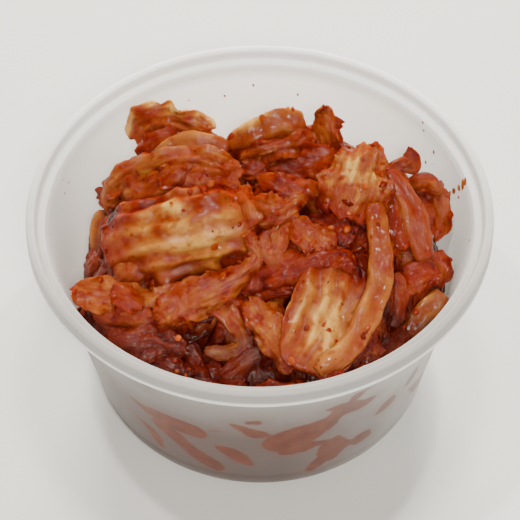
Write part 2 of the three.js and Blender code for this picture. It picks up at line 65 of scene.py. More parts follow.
tilt = math.radians(CAMERA_HEIGHT)
camera_at = Vector((0.0, -CAMERA_AWAY * math.cos(tilt), TUB_HEIGHT + CAMERA_AWAY * math.sin(tilt)))
looking = (Vector(CAMERA_AIM) - camera_at).to_track_quat("-Z", "Y")
camera_data = bpy.data.cameras.new("camera")
camera_data.lens = CAMERA_LENS
camera_data.clip_start = 0.01
camera = bpy.data.objects.new("camera", camera_data)
camera.location = camera_at * MM
camera.rotation_euler = (looking @ Quaternion((0, 0, 1), math.radians(CAMERA_ROLL))).to_euler()
bpy.context.scene.collection.objects.link(camera)
bpy.context.scene.camera = camera
print("camera at", tuple(round(c, 4) for c in camera.location))

# %% [markdown]
# ## Noise
# Nothing in a heap of cabbage repeats, so every shape is bent, torn and wrinkled by noise.
# Blender's own noise takes one point at a time. This one takes a whole array: each corner of a
# unit lattice gets a random slope, and a point blends the slopes of the eight corners round it.

# %% Smooth noise for arrays of points
SLOPES = np.random.default_rng(11).normal(size=(4096, 3))
SLOPES /= np.linalg.norm(SLOPES, axis=1)[:, None]


def noise(points, seed=0):
    """Smooth noise between about -1 and 1 at points of shape (..., 3)."""
    cell = np.floor(points).astype(np.int64)
    part = points - cell
    blend = part * part * part * (part * (part * 6 - 15) + 10)
    total = np.zeros(points.shape[:-1])
    for corner in np.ndindex(2, 2, 2):
        at = cell + corner
        mixed = at[..., 0] * 73856093 ^ at[..., 1] * 19349663 ^ at[..., 2] * 83492791
        index = (mixed ^ seed * 2654435) & 4095
        weight = np.prod(np.where(corner, blend, 1 - blend), axis=-1)
        total += weight * np.einsum("...k,...k->...", SLOPES[index], part - corner)
    return total * 1.6


def layered(points, seed=0, layers=3):
    """Noise with finer and fainter layers on top."""
    return sum(noise(points * 2 ** k, seed + 7 * k) / 2 ** k for k in range(layers))


def ridged(points, seed=0, layers=2):
    """Sharp creases: 1 on a crease, falling to 0 between them."""
    return sum((1 - np.abs(noise(points * 2 ** k, seed + 7 * k))) ** 3 / 2 ** k for k in range(layers))


def points_at(x, y, z):
    """Points from their three coordinates, each an array or one number."""
    return np.stack(np.broadcast_arrays(x, y, z), -1)


print("noise near the origin:", round(float(noise(points_at(0.3, 0.4, 0.5))), 3))

# %% [markdown]
# ## Meshes from grids
# A cabbage piece is a thin sheet, so it is made as a grid of points. It gets an upper and an
# under face that share their border, which closes it without a separate rim. Values that the
# finishes need, such as how much sauce lies at a point, travel with the mesh as attributes.

# %% Build a mesh object
def build_mesh(name, points, faces, values=None):
    """A smooth mesh object from points in mm, faces, and named values for each point."""
    mesh = bpy.data.meshes.new(name)
    faces = np.asarray(faces)
    mesh.vertices.add(len(points))
    mesh.vertices.foreach_set("co", (np.asarray(points) * MM).astype(np.float32).ravel())
    mesh.loops.add(faces.size)
    mesh.loops.foreach_set("vertex_index", faces.astype(np.int32).ravel())
    mesh.polygons.add(len(faces))
    mesh.polygons.foreach_set("loop_start", np.arange(0, faces.size, faces.shape[1], dtype=np.int32))
    mesh.polygons.foreach_set("use_smooth", np.full(len(faces), True))
    mesh.update(calc_edges=True)
    for key, value in (values or {}).items():
        kind, field = ("FLOAT_VECTOR", "vector") if np.ndim(value) == 2 else ("FLOAT", "value")
        layer = mesh.attributes.new(key, kind, "POINT")
        layer.data.foreach_set(field, np.asarray(value, np.float32).ravel())
    piece = bpy.data.objects.new(name, mesh)
    bpy.context.scene.collection.objects.link(piece)
    print(name, len(faces) * (faces.shape[1] - 2), "triangles")
    return piece


def grid_faces(index):
    """Four-sided faces of a grid of point numbers."""
    a, b, c, d = index[:-1, :-1], index[1:, :-1], index[1:, 1:], index[:-1, 1:]
    return np.stack([a, b, c, d], -1).reshape(-1, 4)


# %% [markdown]
# ## The cabbage pieces
# A cabbage leaf has a thick pale stem down its middle and thin crinkled leaf at both sides. Cut
# up, it becomes stem slabs, soft folds, narrow strips and limp leaf. Every piece that shows is
# listed: its kind, which way its outer side faces, and how far it bends across (180
# degrees is a half tube, a hollow one is negative). Then comes how red it is, in hundredths, in
# its middle, at its start, at its end and along its two sides, because red paste coats
# everything but slides off thick stem: 0 is bare cream stem, 50 is orange leaf, 100 is dark
# paste. The rest is its middle line, as x, y, z and width. The heap's fixed solid was made from
# nearly the same list, so the two agree.

# %% List the pieces
LISTED = {
    "broad_stem": ("stem", (-1, -6, 8), 95, (0, 66, 40, 62, 40), (-40, -2, 47, 20), (-31, -4, 54, 25),
        (-20, -5, 58, 26), (-11, -4, 60, 24), (-3, -2, 59, 19)),
    "pale_cup": ("stem", (0, -6, 8), -30, (0, 60, 38, 42, 26), (20, -10, 53, 12), (18, -18, 50, 18),
        (15, -28, 46, 20), (11, -36, 41, 14)),
    "stem_band": ("stem", (2, -6, 7), 80, (26, 50, 24, 40, 30), (29, 3, 61, 5), (30, -8, 58, 6),
        (30, -17, 55, 7), (27, -25, 51, 7), (22, -32, 46, 6), (14, -37, 42, 5)),
    "wide_leaf": ("leaf", (0, -6, 8), 50, (2, 42, 60, 32, 34), (27, 18, 66, 8), (26, 12, 66, 14),
        (24, 6, 64, 18), (21, -1, 60, 15)),
    "cup_leaf": ("leaf", (-2, -6, 8), 40, (34, 50, 36, 42, 38), (-3, -18, 47, 4), (0, -23, 46, 8),
        (4, -28, 44, 9), (8, -35, 41, 6)),
    "membrane": ("leaf", (0, -5, 8), -50, (84, 86, 80, 84, 80), (12, 5, 55, 9), (18, -1, 57, 13),
        (24, -5, 56, 10)),
    "lip_band": ("fold", (0, -6, 7), 110, (70, 72, 72, 74, 74), (-4, -15, 48, 4), (3, -14, 50, 8),
        (9, -13, 52, 8), (15, -11, 54, 7), (20, -11, 55, 5), (23, -14, 54, 3)),
    "lip_under": ("fold", (0, -7, 7), 70, (66, 68, 68, 70, 70), (-2, -15, 46, 4), (4, -15, 48, 5),
        (11, -14, 49, 4)),
    "blade_mid": ("leaf", (1, -6, 8), 40, (45, 50, 50, 50, 50), (8, -1, 61, 3), (11, -5, 59, 8),
        (14, -7, 57, 9), (18, -9, 55, 6)),
    "strip_short": ("strip", (-2, -6, 7), 80, (40, 50, 45, 50, 45), (8, 1, 60, 3), (5, -3, 58, 4),
        (4, -7, 56, 4), (1, -10, 54, 4)),
    "strip_bent": ("strip", (0, -6, 8), 80, (46, 50, 50, 52, 52), (2, -2, 57, 3), (1, -6, 56, 4),
        (2, -10, 55, 4), (6, -11, 54, 4), (10, -8, 54, 3)),
    "tongue": ("fold", (-2, -6, 8), 120, (40, 50, 45, 50, 45), (-4, 9, 61, 3), (-4, 2, 62, 5),
        (-3, -3, 60, 6), (-2, -4, 58, 3)),
    "mid_ruffle": ("leaf", (-1, -6, 8), 60, (42, 50, 46, 50, 44), (-4, 3, 60, 8), (2, -1, 62, 9),
        (7, 0, 62, 7), (11, 4, 61, 3)),
    "top_ruffle": ("leaf", (0, -6, 8), 70, (60, 62, 60, 62, 62), (0, 11, 62, 3), (5, 7, 63, 7),
        (11, 6, 62, 7), (16, 8, 60, 2)),
    "sweeping_leaf": ("leaf", (1, -6, 8), 60, (45, 45, 55, 50, 35), (-26, -22, 43, 4), (-22, -20, 46, 9),
        (-17, -18, 48, 11), (-11, -16, 50, 9), (-5, -14, 52, 6), (-1, -10, 54, 4), (-2, -6, 57, 3),
        (-4, -2, 59, 2)),
    "hanging_hook": ("strip", (1, -6, 8), 15, (30, 44, 34, 40, 36), (-12, -18, 46, 4), (-8, -21, 44, 4),
        (-5, -24, 41, 4), (-5, -26, 39, 4), (-8, -27, 38, 4), (-14, -26, 38, 2)),
    "dark_roll": ("fold", (0, -7, 7), 120, (98, 98, 98, 98, 98), (-24, -20, 41, 6), (-18, -20, 42, 8),
        (-11, -19, 43, 6)),
    "dark_roll_low": ("fold", (0, -7, 7), 110, (98, 98, 98, 98, 98), (-24, -20, 38, 4), (-19, -22, 38, 5),
        (-13, -21, 39, 3)),
    "front_left_leaf": ("leaf", (0, -5, 8), 60, (60, 60, 60, 65, 60), (-38, -21, 40, 6),
        (-32, -24, 40, 10), (-26, -25, 39, 9), (-19, -26, 38, 5)),
    "wall_scrap": ("leaf", (-2, -6, 8), 60, (55, 55, 55, 60, 60), (-44, -15, 38, 3), (-41, -19, 38, 5),
        (-38, -23, 37, 4)),
    "deep_left": ("leaf", (0, -5, 8), 80, (75, 75, 75, 80, 80), (-32, -27, 36, 5), (-25, -30, 36, 7),
        (-17, -33, 36, 5)),
    "deep_middle": ("fold", (0, -5, 8), 110, (66, 70, 70, 75, 75), (-20, -24, 36, 5), (-17, -28, 35, 7),
        (-15, -34, 35, 6)),
    "deep_right": ("fold", (1, -5, 8), 110, (70, 75, 70, 75, 75), (-13, -25, 36, 5), (-11, -30, 35, 6),
        (-9, -35, 35, 5)),
    "low_band": ("strip", (0, -6, 8), 70, (50, 55, 55, 60, 55), (-9, -35, 36, 4), (-5, -32, 37, 6),
        (0, -29, 38, 5), (4, -27, 39, 3)),
    "low_red": ("leaf", (0, -5, 8), 70, (92, 94, 94, 94, 92), (-4, -23, 38, 7), (0, -28, 38, 9),
        (4, -33, 37, 9)),
    "low_front": ("leaf", (0, -5, 8), 60, (75, 80, 75, 80, 80), (-3, -36, 36, 6), (3, -34, 36, 8),
        (8, -33, 37, 6)),
    "back_ruffle": ("leaf", (-2, -8, 5), 30, (48, 55, 50, 0, 60), (-32, 30, 54, 9), (-28, 32, 58, 13),
        (-24, 31, 60, 11), (-18, 29, 61, 9), (-12, 27, 61, 6)),
    "back_fold": ("fold", (-1, -8, 5), 60, (60, 60, 60, 60, 65), (-30, 25, 51, 6), (-26, 26, 56, 8),
        (-20, 26, 59, 7)),
    "crescent_stem": ("stem", (0, -6, 8), 90, (20, 32, 44, 26, 40), (-28, 24, 54, 4), (-22, 23, 60, 6),
        (-15, 23, 62, 7), (-8, 22, 60, 4)),
    "arched_band": ("fold", (0, -6, 7), 110, (40, 46, 46, 32, 55), (-40, 17, 43, 4), (-38, 18, 49, 5),
        (-34, 18, 55, 6), (-27, 18, 59, 6), (-19, 17, 62, 6), (-12, 16, 62, 6), (-5, 14, 60, 4)),
    "under_arch": ("leaf", (0, -6, 8), 30, (50, 52, 52, 50, 62), (-37, 13, 45, 9), (-31, 13, 51, 12),
        (-24, 12, 56, 12), (-15, 12, 59, 11), (-5, 10, 60, 8)),
    "folded_tab": ("leaf", (-1, -7, 7), 40, (52, 56, 56, 58, 58), (-19, 14, 61, 3), (-22, 12, 60, 5),
        (-26, 13, 58, 3)),
    "scrap_high": ("leaf", (-3, -6, 7), 30, (52, 56, 56, 58, 58), (-41, 23, 48, 3), (-39, 20, 49, 5),
        (-37, 15, 50, 4)),
    "scrap_side": ("leaf", (-4, -6, 6), 40, (58, 60, 60, 60, 60), (-43, 20, 44, 3), (-41, 19, 46, 4),
        (-38, 15, 46, 4)),
    "pale_left": ("stem", (-6, -5, 6), 60, (16, 30, 40, 35, 35), (-41, 18, 41, 3), (-43, 17, 38, 5),
        (-43, 14, 34, 5), (-42, 10, 30, 3)),
    "dark_left": ("fold", (-5, -5, 6), 100, (78, 80, 80, 80, 80), (-40, 13, 45, 3), (-40, 11, 43, 5),
        (-39, 9, 41, 4)),
    "ribbon_left": ("fold", (-4, -5, 7), 110, (48, 52, 52, 55, 55), (-38, 11, 48, 5), (-38, 6, 47, 5),
        (-39, 3, 45, 5), (-37, -1, 42, 4)),
    "flap_left": ("leaf", (-2, -6, 8), 50, (52, 56, 56, 58, 58), (-27, -7, 55, 3), (-32, -4, 53, 6),
        (-36, -2, 50, 6)),
    "side_low": ("leaf", (-4, -5, 7), 60, (58, 60, 60, 60, 60), (-40, 3, 38, 4), (-42, 3, 34, 5),
        (-44, 3, 30, 3)),
    "tan_roll": ("fold", (-2, -6, 7), 90, (42, 50, 50, 50, 50), (-27, -7, 50, 6), (-33, -8, 47, 7),
        (-37, -9, 43, 6)),
    "lower_left_leaf": ("leaf", (0, -5, 8), 30, (36, 42, 40, 42, 42), (-27, -15, 43, 6), (-35, -15, 45, 9),
        (-42, -15, 47, 9), (-48, -16, 49, 3)),
    "ruffle_ring": ("leaf", (0, -4, 9), 30, (52, 56, 56, 58, 58), (-38, -15, 47, 5), (-34, -17, 48, 7),
        (-30, -19, 46, 5)),
    "lower_lip": ("fold", (-1, -7, 7), 110, (48, 52, 52, 55, 55), (-42, -16, 43, 3), (-38, -19, 42, 5),
        (-32, -20, 43, 5), (-27, -18, 44, 4)),
    "pale_under": ("strip", (0, -5, 8), 40, (26, 40, 35, 35, 40), (-31, -15, 44, 3), (-26, -16, 46, 4),
        (-21, -13, 47, 3)),
    "finger_inner": ("stem", (0, -6, 8), 140, (58, 60, 58, 62, 62), (32, 16, 60, 3), (33, 7, 58, 5),
        (34, 0, 55, 6), (36, -5, 51, 5)),
    "finger_outer": ("stem", (2, -6, 8), 130, (46, 56, 50, 56, 54), (33, 14, 60, 4), (37, 7, 58, 6),
        (40, 0, 55, 8), (42, -7, 50, 6)),
    "curl": ("strip", (0, -8, 5), 40, (46, 50, 50, 52, 52), (38, 14, 52, 3), (37, 16, 55, 3),
        (35, 17, 57, 3), (37, 18, 58, 3), (40, 17, 58, 3), (40, 19, 60, 3), (38, 21, 61, 3)),
    "cup_right": ("leaf", (-3, -7, 6), -80, (64, 58, 56, 58, 58), (43, 18, 50, 6), (45, 15, 47, 10),
        (46, 11, 44, 10), (45, 7, 41, 4)),
    "cup_rim": ("fold", (0, -7, 7), 90, (48, 52, 52, 55, 55), (38, 17, 50, 3), (41, 17, 52, 4),
        (44, 17, 52, 4), (46, 15, 52, 3), (48, 17, 51, 3)),
    "cup_edge": ("strip", (-2, -6, 7), 90, (46, 50, 50, 52, 52), (47, 16, 51, 3), (47, 12, 47, 4),
        (46, 9, 43, 4)),
    "right_leaf": ("leaf", (0, -6, 8), 60, (62, 66, 62, 66, 66), (36, -12, 44, 4), (39, -11, 46, 8),
        (43, -9, 46, 8), (46, -8, 45, 3)),
    "right_wall_leaf": ("leaf", (-1, -6, 8), 40, (52, 56, 56, 58, 58), (44, -1, 46, 5), (46, -4, 43, 6),
        (47, -7, 39, 4)),
    "right_blade": ("strip", (2, -6, 7), 80, (50, 55, 52, 55, 55), (34, -10, 48, 3), (35, -15, 44, 5),
        (33, -20, 39, 4)),
    "green_stem": ("stem", (0, -6, 8), 120, (44, 50, 46, 50, 48), (40, -10, 40, 5), (37, -13, 39, 6),
        (35, -17, 38, 4)),
    "pale_slab": ("stem", (0, -6, 8), 70, (24, 34, 30, 34, 30), (47, -10, 40, 5), (44, -13, 39, 7),
        (41, -17, 38, 7), (37, -21, 37, 5)),
    "low_right": ("leaf", (0, -6, 8), 60, (58, 60, 60, 60, 60), (28, -23, 38, 4), (31, -25, 37, 7),
        (35, -24, 37, 5)),
    "top_slab": ("stem", (-1, -7, 6), 60, (34, 42, 42, 6, 46), (-8, 24, 60, 4), (-1, 25, 63, 7),
        (6, 26, 65, 8), (12, 28, 65, 5)),
    "top_slab_under": ("leaf", (0, -7, 6), 80, (50, 52, 52, 48, 54), (-5, 21, 58, 4), (3, 22, 60, 7),
        (10, 23, 62, 8), (14, 27, 62, 5)),
    "brown_under": ("leaf", (0, -6, 8), 60, (62, 65, 65, 65, 65), (-5, 21, 57, 5), (-2, 19, 57, 8),
        (1, 21, 57, 6)),
    "top_spike": ("leaf", (0, -9, 4), -60, (48, 65, 35, 50, 50), (19, 22, 56, 8), (18, 25, 60, 8),
        (17, 28, 65, 6), (17, 30, 68, 3)),
    "spike_red": ("strip", (2, -8, 5), 60, (62, 65, 65, 65, 65), (21, 23, 58, 3), (20, 25, 61, 4),
        (19, 27, 63, 4), (22, 28, 63, 2)),
    "cavity_leaf": ("leaf", (0, -6, 8), 20, (62, 66, 60, 66, 62), (3, 20, 55, 7), (10, 20, 57, 9),
        (16, 19, 58, 9), (21, 16, 60, 6)),
}
PIECES = {}
for name, (kind, face, arc, red, *spine) in LISTED.items():
    PIECES[name] = dict(kind=kind, face=face, arc=arc, red=[level / 100 for level in red], spine=spine)
print(len(PIECES), "named pieces")

# %% [markdown]
# Each kind has its own thickness in the middle and at the edge, and its own share of the reliefs
# that make cabbage look like cabbage: slow folds, ruffled edges, pleats or ribs that run along
# it, and fine wrinkles. Torn ends and nibbled sides differ too, and so do how sharply a piece
# is creased along its middle and how much of its listed bend and width it keeps.

# %% Describe the kinds
KIND_VALUES = ("middle", "edge", "ruffle", "wavelength", "fold", "pleat", "period", "wrinkle", "torn",
               "nibble", "crease", "flat", "widen")
KINDS = {
    "stem": (2.4, 0.90, 0.4, 20, 0.60, 0.75, 4.6, 0.03, 0.4, 0.05, 0.8, 1.00, 1.06),
    "fold": (1.2, 0.50, 0.9, 12, 0.90, 0.75, 2.0, 0.24, 1.1, 0.20, 2.6, 0.62, 1.25),
    "strip": (0.8, 0.40, 0.6, 11, 0.70, 0.50, 1.6, 0.20, 0.8, 0.20, 1.8, 0.60, 1.30),
    "leaf": (0.8, 0.45, 1.4, 11, 1.30, 0.65, 2.4, 0.30, 1.2, 0.17, 1.2, 0.90, 1.05),
}
KINDS = {kind: dict(zip(KIND_VALUES, values)) for kind, values in KINDS.items()}
CELL = 0.36               # size of the mesh's cells
BASE_RADIUS = 43.0        # the tub's straight wall, brought down to the table
WALL_SLOPE = 0.1965
WALL = 0.7                # its thickness
GAP = 0.35                # free space kept between the heap and the tub


def wall_radius(z):
    """Outside radius of the tub's straight wall at height z."""
    return BASE_RADIUS + WALL_SLOPE * z


def inside_radius(z):
    """How far out a piece may reach at height z before it touches the tub."""
    return wall_radius(z) - WALL - GAP


def keep_inside(points):
    """Press whatever would reach past the tub's wall flat against it."""
    radius = np.hypot(points[..., 0], points[..., 1])
    squeeze = np.minimum(1, inside_radius(points[..., 2]) / np.maximum(radius, 1e-6))
    return np.concatenate([points[..., :2] * squeeze[..., None], points[..., 2:]], -1)


print("kinds:", ", ".join(KINDS))

# %% [markdown]
# The middle line runs smoothly through its few points. A Catmull-Rom spline does that: it passes
# through every point, and its slope at a point follows the two neighbours.

# %% Smooth lines through a few points
def through(points, at):
    """The smooth line through the points, at places from 0 to 1 along it."""
    points = np.asarray(points, float)
    padded = np.vstack([2 * points[0] - points[1], points, 2 * points[-1] - points[-2]])
    place = np.clip(at, 0, 1) * (len(points) - 1)
    start = np.minimum(place.astype(int), len(points) - 2)
    t = (place - start)[:, None]
    a, b, c, d = (padded[start + k] for k in range(4))
    bend = (2 * a - 5 * b + 4 * c - d) * t ** 2 + (3 * b - a - 3 * c + d) * t ** 3
    return 0.5 * (2 * b + (c - a) * t + bend)


def unit(vectors):
    """The same directions with length 1."""
    return vectors / np.maximum(np.linalg.norm(vectors, axis=-1, keepdims=True), 1e-9)


# %% [markdown]
# A piece starts as a flat grid that is laid along its line and bent across it. The grid is
# finer towards its border, so that the edge can be rounded. Torn ends and nibbled sides come
# from shifting the border in and out with noise, and frills from a wave that grows sideways.

# %% Lay the middle surface of a piece
def middle_surface(spec, seed):
    """Points, outward directions and coordinates of a piece's middle surface."""
    kind = KINDS[spec["kind"]]
    spine = np.array(spec["spine"], float)
    rough = through(spine, np.linspace(0, 1, 60))
    length = np.linalg.norm(np.diff(rough[:, :3], axis=0), axis=1).sum()
    s = np.linspace(0, 1, max(14, int(length / CELL)))
    along = s - 0.5 * np.sin(2 * np.pi * s) / (2 * np.pi)
    r = np.linspace(-1, 1, max(12, int(spine[:, 3].max() / CELL)))
    across = r * (1.35 - 0.35 * r * r)
    line = through(spine, along)
    forward = unit(np.gradient(line[:, :3], along, axis=0))
    face = np.array(spec["face"], float)
    normal = unit(face - forward * (forward @ face)[:, None])
    side = np.cross(forward, normal)[:, None]
    half = np.maximum(line[:, 3], 1) / 2 * kind["widen"]
    u, v = np.meshgrid(along, across, indexing="ij")
    nibble = layered(points_at(u * length / 3.5, np.sign(v) * 3.1, seed * 3.7), seed, 3)
    corner = np.clip(np.minimum(u, 1 - u) * length / 2.0, 0, 1)
    wide = half[:, None] * (1 + kind["nibble"] * nibble * np.abs(v) ** 2)
    wide = wide * (0.62 + 0.38 * np.sqrt(1 - (1 - corner) ** 2))
    crest = 0.35 * noise(points_at(u * length / 9, 0, seed * 3.7), seed + 7)
    sharp = kind["crease"]
    turn = np.tanh(sharp * (v - crest)) / math.tanh(sharp)
    turn = math.radians(spec["arc"]) / 2 * kind["flat"] * turn
    step = np.gradient(v, axis=1)
    off = np.cumsum(np.cos(turn) * step, axis=1)
    drop = -np.cumsum(np.sin(turn) * step, axis=1)
    centre = len(r) // 2
    off = wide * (off - off[:, centre:centre + 1])
    drop = wide * (drop - drop[:, centre:centre + 1])
    torn = layered(points_at(v * half.mean() / 2.2, 5.5, seed * 3.7), seed + 3, 3)
    shift = np.abs(2 * u - 1) ** 6 * np.sign(u - 0.5) * torn * kind["torn"]
    wave = 2 * np.pi * u * length / kind["wavelength"] + 2.1 * np.sign(v) + seed
    frill = np.abs(v) ** 1.5 * np.sin(wave) + 0.55 * np.abs(v) ** 3 * np.sin(2.3 * wave + 1.7 + seed)
    drop = drop + kind["ruffle"] * frill
    normal = normal[:, None]
    points = (line[:, None, :3] + side * off[..., None] + normal * drop[..., None]
              + forward[:, None] * shift[..., None])
    outward = unit(normal * np.cos(turn)[..., None] + side * np.sin(turn)[..., None])
    half = half[:, None] + 0 * u
    return dict(points=points, outward=outward, u=u, v=v, length=length, half=half, kind=kind)


# %% [markdown]
# Relief is what the eye reads as cabbage. Slow folds buckle the whole sheet. Ribs are the
# bundles of fibre in a stem, so they are stretched along it. Wrinkles are sharp creases between
# soft pillows, which ridged noise gives. The relief is measured in millimetres, so that a large
# slab and a small scrap have grain of the same size.

# %% Add relief to a middle surface
def add_relief(sheet, seed):
    """Buckle and crease a sheet. Returns the fine relief, which the finish uses too."""
    kind, u, v = sheet["kind"], sheet["u"], sheet["v"]
    along = u * sheet["length"]
    across = v * sheet["half"]
    place = sheet["points"] / 7.0
    fold = layered(place, seed, 2) * kind["fold"] * (0.4 + 0.6 * np.abs(v))
    wander = noise(points_at(along / 8, across / 6, seed), seed + 1)
    lengthwise = points_at(along / 13, across / kind["period"] + 0.9 * wander, seed * 1.7)
    if kind is KINDS["stem"]:
        swing = math.pi * (across / kind["period"] + 0.3 * wander + 0.3 * noise(lengthwise / 3, seed + 6))
        pleats = (np.sin(swing) ** 2 - 0.5) * kind["pleat"] * (1 + 0.5 * noise(lengthwise / 2, seed))
    else:
        pleats = (0.55 - np.abs(noise(lengthwise, seed + 2)) * 1.5) * kind["pleat"]
    pleats = pleats + 0.3 * kind["pleat"] * noise(lengthwise * (2.2, 2.4, 1), seed + 9)
    to_end = np.minimum(u, 1 - u) * sheet["length"]
    pleats = pleats * (0.25 + 0.75 * np.clip(to_end / 5, 0, 1))
    crease = points_at(along / 2.6, across / 1.9, seed) + 0.35 * place
    wrinkle = (0.6 - ridged(crease, seed + 4)) * kind["wrinkle"]
    grain = layered(sheet["points"] / 0.9, seed + 5, 2) * (0.03 + 0.15 * kind["wrinkle"])
    fine = pleats + wrinkle + grain
    sheet["points"] = sheet["points"] + sheet["outward"] * (fold + fine)[..., None]
    return fine


# %% [markdown]
# The sheet now gets its thickness: half of it to each side. Near the border the thickness runs
# out along a quarter circle, which rounds the edge as a wet leaf's edge is rounded. The two
# faces share their border points.

# %% Turn a sheet into a closed piece
def thicken(sheet, fine):
    """The two faces of a sheet as one closed mesh: points, faces and the sheet point of each."""
    rows, columns = sheet["u"].shape
    middle, outward, kind, v = sheet["points"], sheet["outward"], sheet["kind"], sheet["v"]
    thick = kind["edge"] + (kind["middle"] - kind["edge"]) * (1 - v * v)
    thick = thick * (1 + 0.18 * noise(middle / 5, 77))
    to_side = (1 - np.abs(v)) * sheet["half"]
    to_end = np.minimum(sheet["u"], 1 - sheet["u"]) * sheet["length"]
    near = np.minimum(np.minimum(to_side, to_end) / (thick / 2 + 1e-6), 1)
    half = thick / 2 * np.sqrt(1 - (1 - near) ** 2)
    border = np.ones((rows, columns), bool)
    border[1:-1, 1:-1] = False
    half[border] = 0
    lift = outward * half[..., None]
    upper = keep_inside(middle + lift + outward * (0.2 * fine * near)[..., None])
    under = keep_inside(middle - lift)
    top_index = np.arange(rows * columns).reshape(rows, columns)
    low_index = top_index.copy()
    low_index[~border] = rows * columns + np.arange((~border).sum())
    points = np.vstack([upper.reshape(-1, 3), under[~border]])
    faces = np.vstack([grid_faces(top_index), grid_faces(low_index)[:, ::-1]])
    turned = np.cross(np.gradient(middle, axis=0), np.gradient(middle, axis=1))
    if (turned * outward).sum() < 0:
        faces = faces[:, ::-1]
    return points, faces, np.concatenate([top_index.ravel(), top_index[~border]])


# %% [markdown]
# Below and behind the listed pieces the tub is simply full of cabbage. Some more pieces are
# pressed along the wall all round, by a rule instead of by hand. The rule draws its numbers from
# a tiny generator, so it gives the same pieces on every run.

# %% Lay pieces along the wall
PACKED_PIECES = 15
PACKED_REACH = 41.5       # how far out their middles lie
LEFT_DROP = 8.0           # how much lower the cabbage is packed at the far left


def make_draw(seed):
    """A function that gives the next of a fixed row of numbers between 0 and 1."""
    state = [seed]

    def draw():
        state[0] = state[0] * 16807 % 2147483647
        return state[0] / 2147483647
    return draw


def packed_piece(k, draw):
    """One of the pieces pressed along the tub's wall."""
    turn = (k + 0.3 + 0.4 * draw()) * (2 * math.pi / PACKED_PIECES)
    left = max(0, -math.cos(turn))
    back = max(0, math.sin(turn))
    radius = PACKED_REACH + 2 * draw()
    height = 35 + 3 * back - LEFT_DROP * left * left + 2 * draw()
    width = 9 + 4 * draw()
    spine = []
    for step in (-1, -0.35, 0.35, 1):
        angle = turn + step * (0.2 + 0.05 * draw())
        reach = radius + 1.5 * draw()
        spine.append((reach * math.cos(angle), reach * math.sin(angle), height + 2.5 * draw(),
                      width * (1 - 0.45 * step * step)))
    face = (0.6 * math.cos(turn), 0.6 * math.sin(turn), 1)
    return dict(kind="leaf" if k % 3 else "stem", face=face, arc=40 + 40 * draw(),
                red=(0.56, 0.60, 0.60, 0.58, 0.60), spine=spine)


draw = make_draw(4177)
PIECES.update({f"packed_{k}": packed_piece(k, draw) for k in range(PACKED_PIECES)})
print(len(PIECES), "pieces with the packed ones")

# %% [markdown]
# Now every piece is laid, creased and thickened, and told how red it is at each point. They
# stay loose arrays for now, because the next steps need to know where all of them are.

# %% Make every piece
def redness(levels, sheet):
    """How red each point of a piece is, before the sauce and painted shade of hollows are added."""
    middle, start, end, first, second = levels
    wander = layered(sheet["points"] / 6.0, 401, 3)
    u = np.clip(sheet["u"] + 0.12 * wander, 0, 1)
    v = np.clip(sheet["v"] + 0.5 * wander, -1, 1)
    red = middle + (start - middle) * (1 - u) ** 3 + (end - middle) * u ** 3
    return red + (first - middle) * np.clip(-v, 0, 1) ** 2 + (second - middle) * np.clip(v, 0, 1) ** 2


def props_under(sheet):
    """Points a little below a piece's middle, for the core to rise to."""
    rows, columns = sheet["u"].shape
    inner = (slice(rows // 6, -rows // 6, 4), slice(columns // 5, -columns // 5, 3))
    points = sheet["points"][inner].copy()
    lean = np.maximum(0, 0.85 - sheet["outward"][inner][..., 2])
    points[..., 2] -= 0.5 * sheet["kind"]["middle"] + 9 * lean ** 2
    return points.reshape(-1, 3)


def make_piece(name, kind, sheet, seed, levels, layer):
    """A closed piece with its props, and with its grain, fine relief and redness at each point."""
    fine = add_relief(sheet, seed)
    points, faces, origin = thicken(sheet, fine)
    grain = points_at(sheet["v"] * sheet["half"], sheet["u"] * sheet["length"], layer)
    return dict(name=name, kind=kind, points=points, faces=faces, props=props_under(sheet),
                grain=grain.reshape(-1, 3)[origin], fine=fine.ravel()[origin],
                red=redness(levels, sheet).ravel()[origin])


made = []
for order, (name, spec) in enumerate(PIECES.items()):
    sheet = middle_surface(spec, order)
    made.append(make_piece(name, spec["kind"], sheet, order, spec["red"], order * 3.1))
everything = np.vstack([piece["points"] for piece in made])
print(len(everything), "points, from", everything.min(0).round(1), "to", everything.max(0).round(1))

# %% [markdown]
# ## The core
# Under the pieces lies a core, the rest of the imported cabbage. Its top rises to meet the
# underside of each piece and falls away steeply beside it, so that it only shows at the bottom
# of gaps. The heights are worked out on a square map first, which is then smoothed.

# %% Map the core's height
CORE_LEVEL = 31.0         # where nothing lies on it
CORE_FALL = 3.0           # how steeply it falls beside a piece
DOME_EDGE = 47.0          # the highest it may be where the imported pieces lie
MAP_CELL = 0.6
MAP_REACH = 57.0
DARK_GAPS = [             # x, y, radius and depth; each gap is a pit in the core and a spot of painted shade on the scraps and the core
    (-16, -25, 3.2, 9), (-9, 19, 2.2, 6), (12, 3, 2.0, 6), (2, 12, 1.5, 4), (9, -17, 2.5, 4),
    (30, -20, 2.5, 5), (-30, -25, 2, 4),
]
ticks = np.arange(-MAP_REACH, MAP_REACH, MAP_CELL)
map_x, map_y = np.meshgrid(ticks, ticks, indexing="ij")
props = np.vstack([piece["props"] for piece in made])


def core_map():
    """The height of the core's top on the square map."""
    left = np.maximum(0, -map_x / 50)
    top = CORE_LEVEL - LEFT_DROP * left ** 2 + 1.2 * np.sin(0.31 * map_x + 1) * np.cos(0.27 * map_y)
    reach = 12
    for x, y, z in props:
        i = int((x + MAP_REACH) / MAP_CELL)
        j = int((y + MAP_REACH) / MAP_CELL)
        near = (slice(max(i - reach, 0), i + reach), slice(max(j - reach, 0), j + reach))
        away = np.hypot(map_x[near] - x, map_y[near] - y)
        top[near] = np.maximum(top[near], z - CORE_FALL * np.maximum(0, away - 1))
    return top


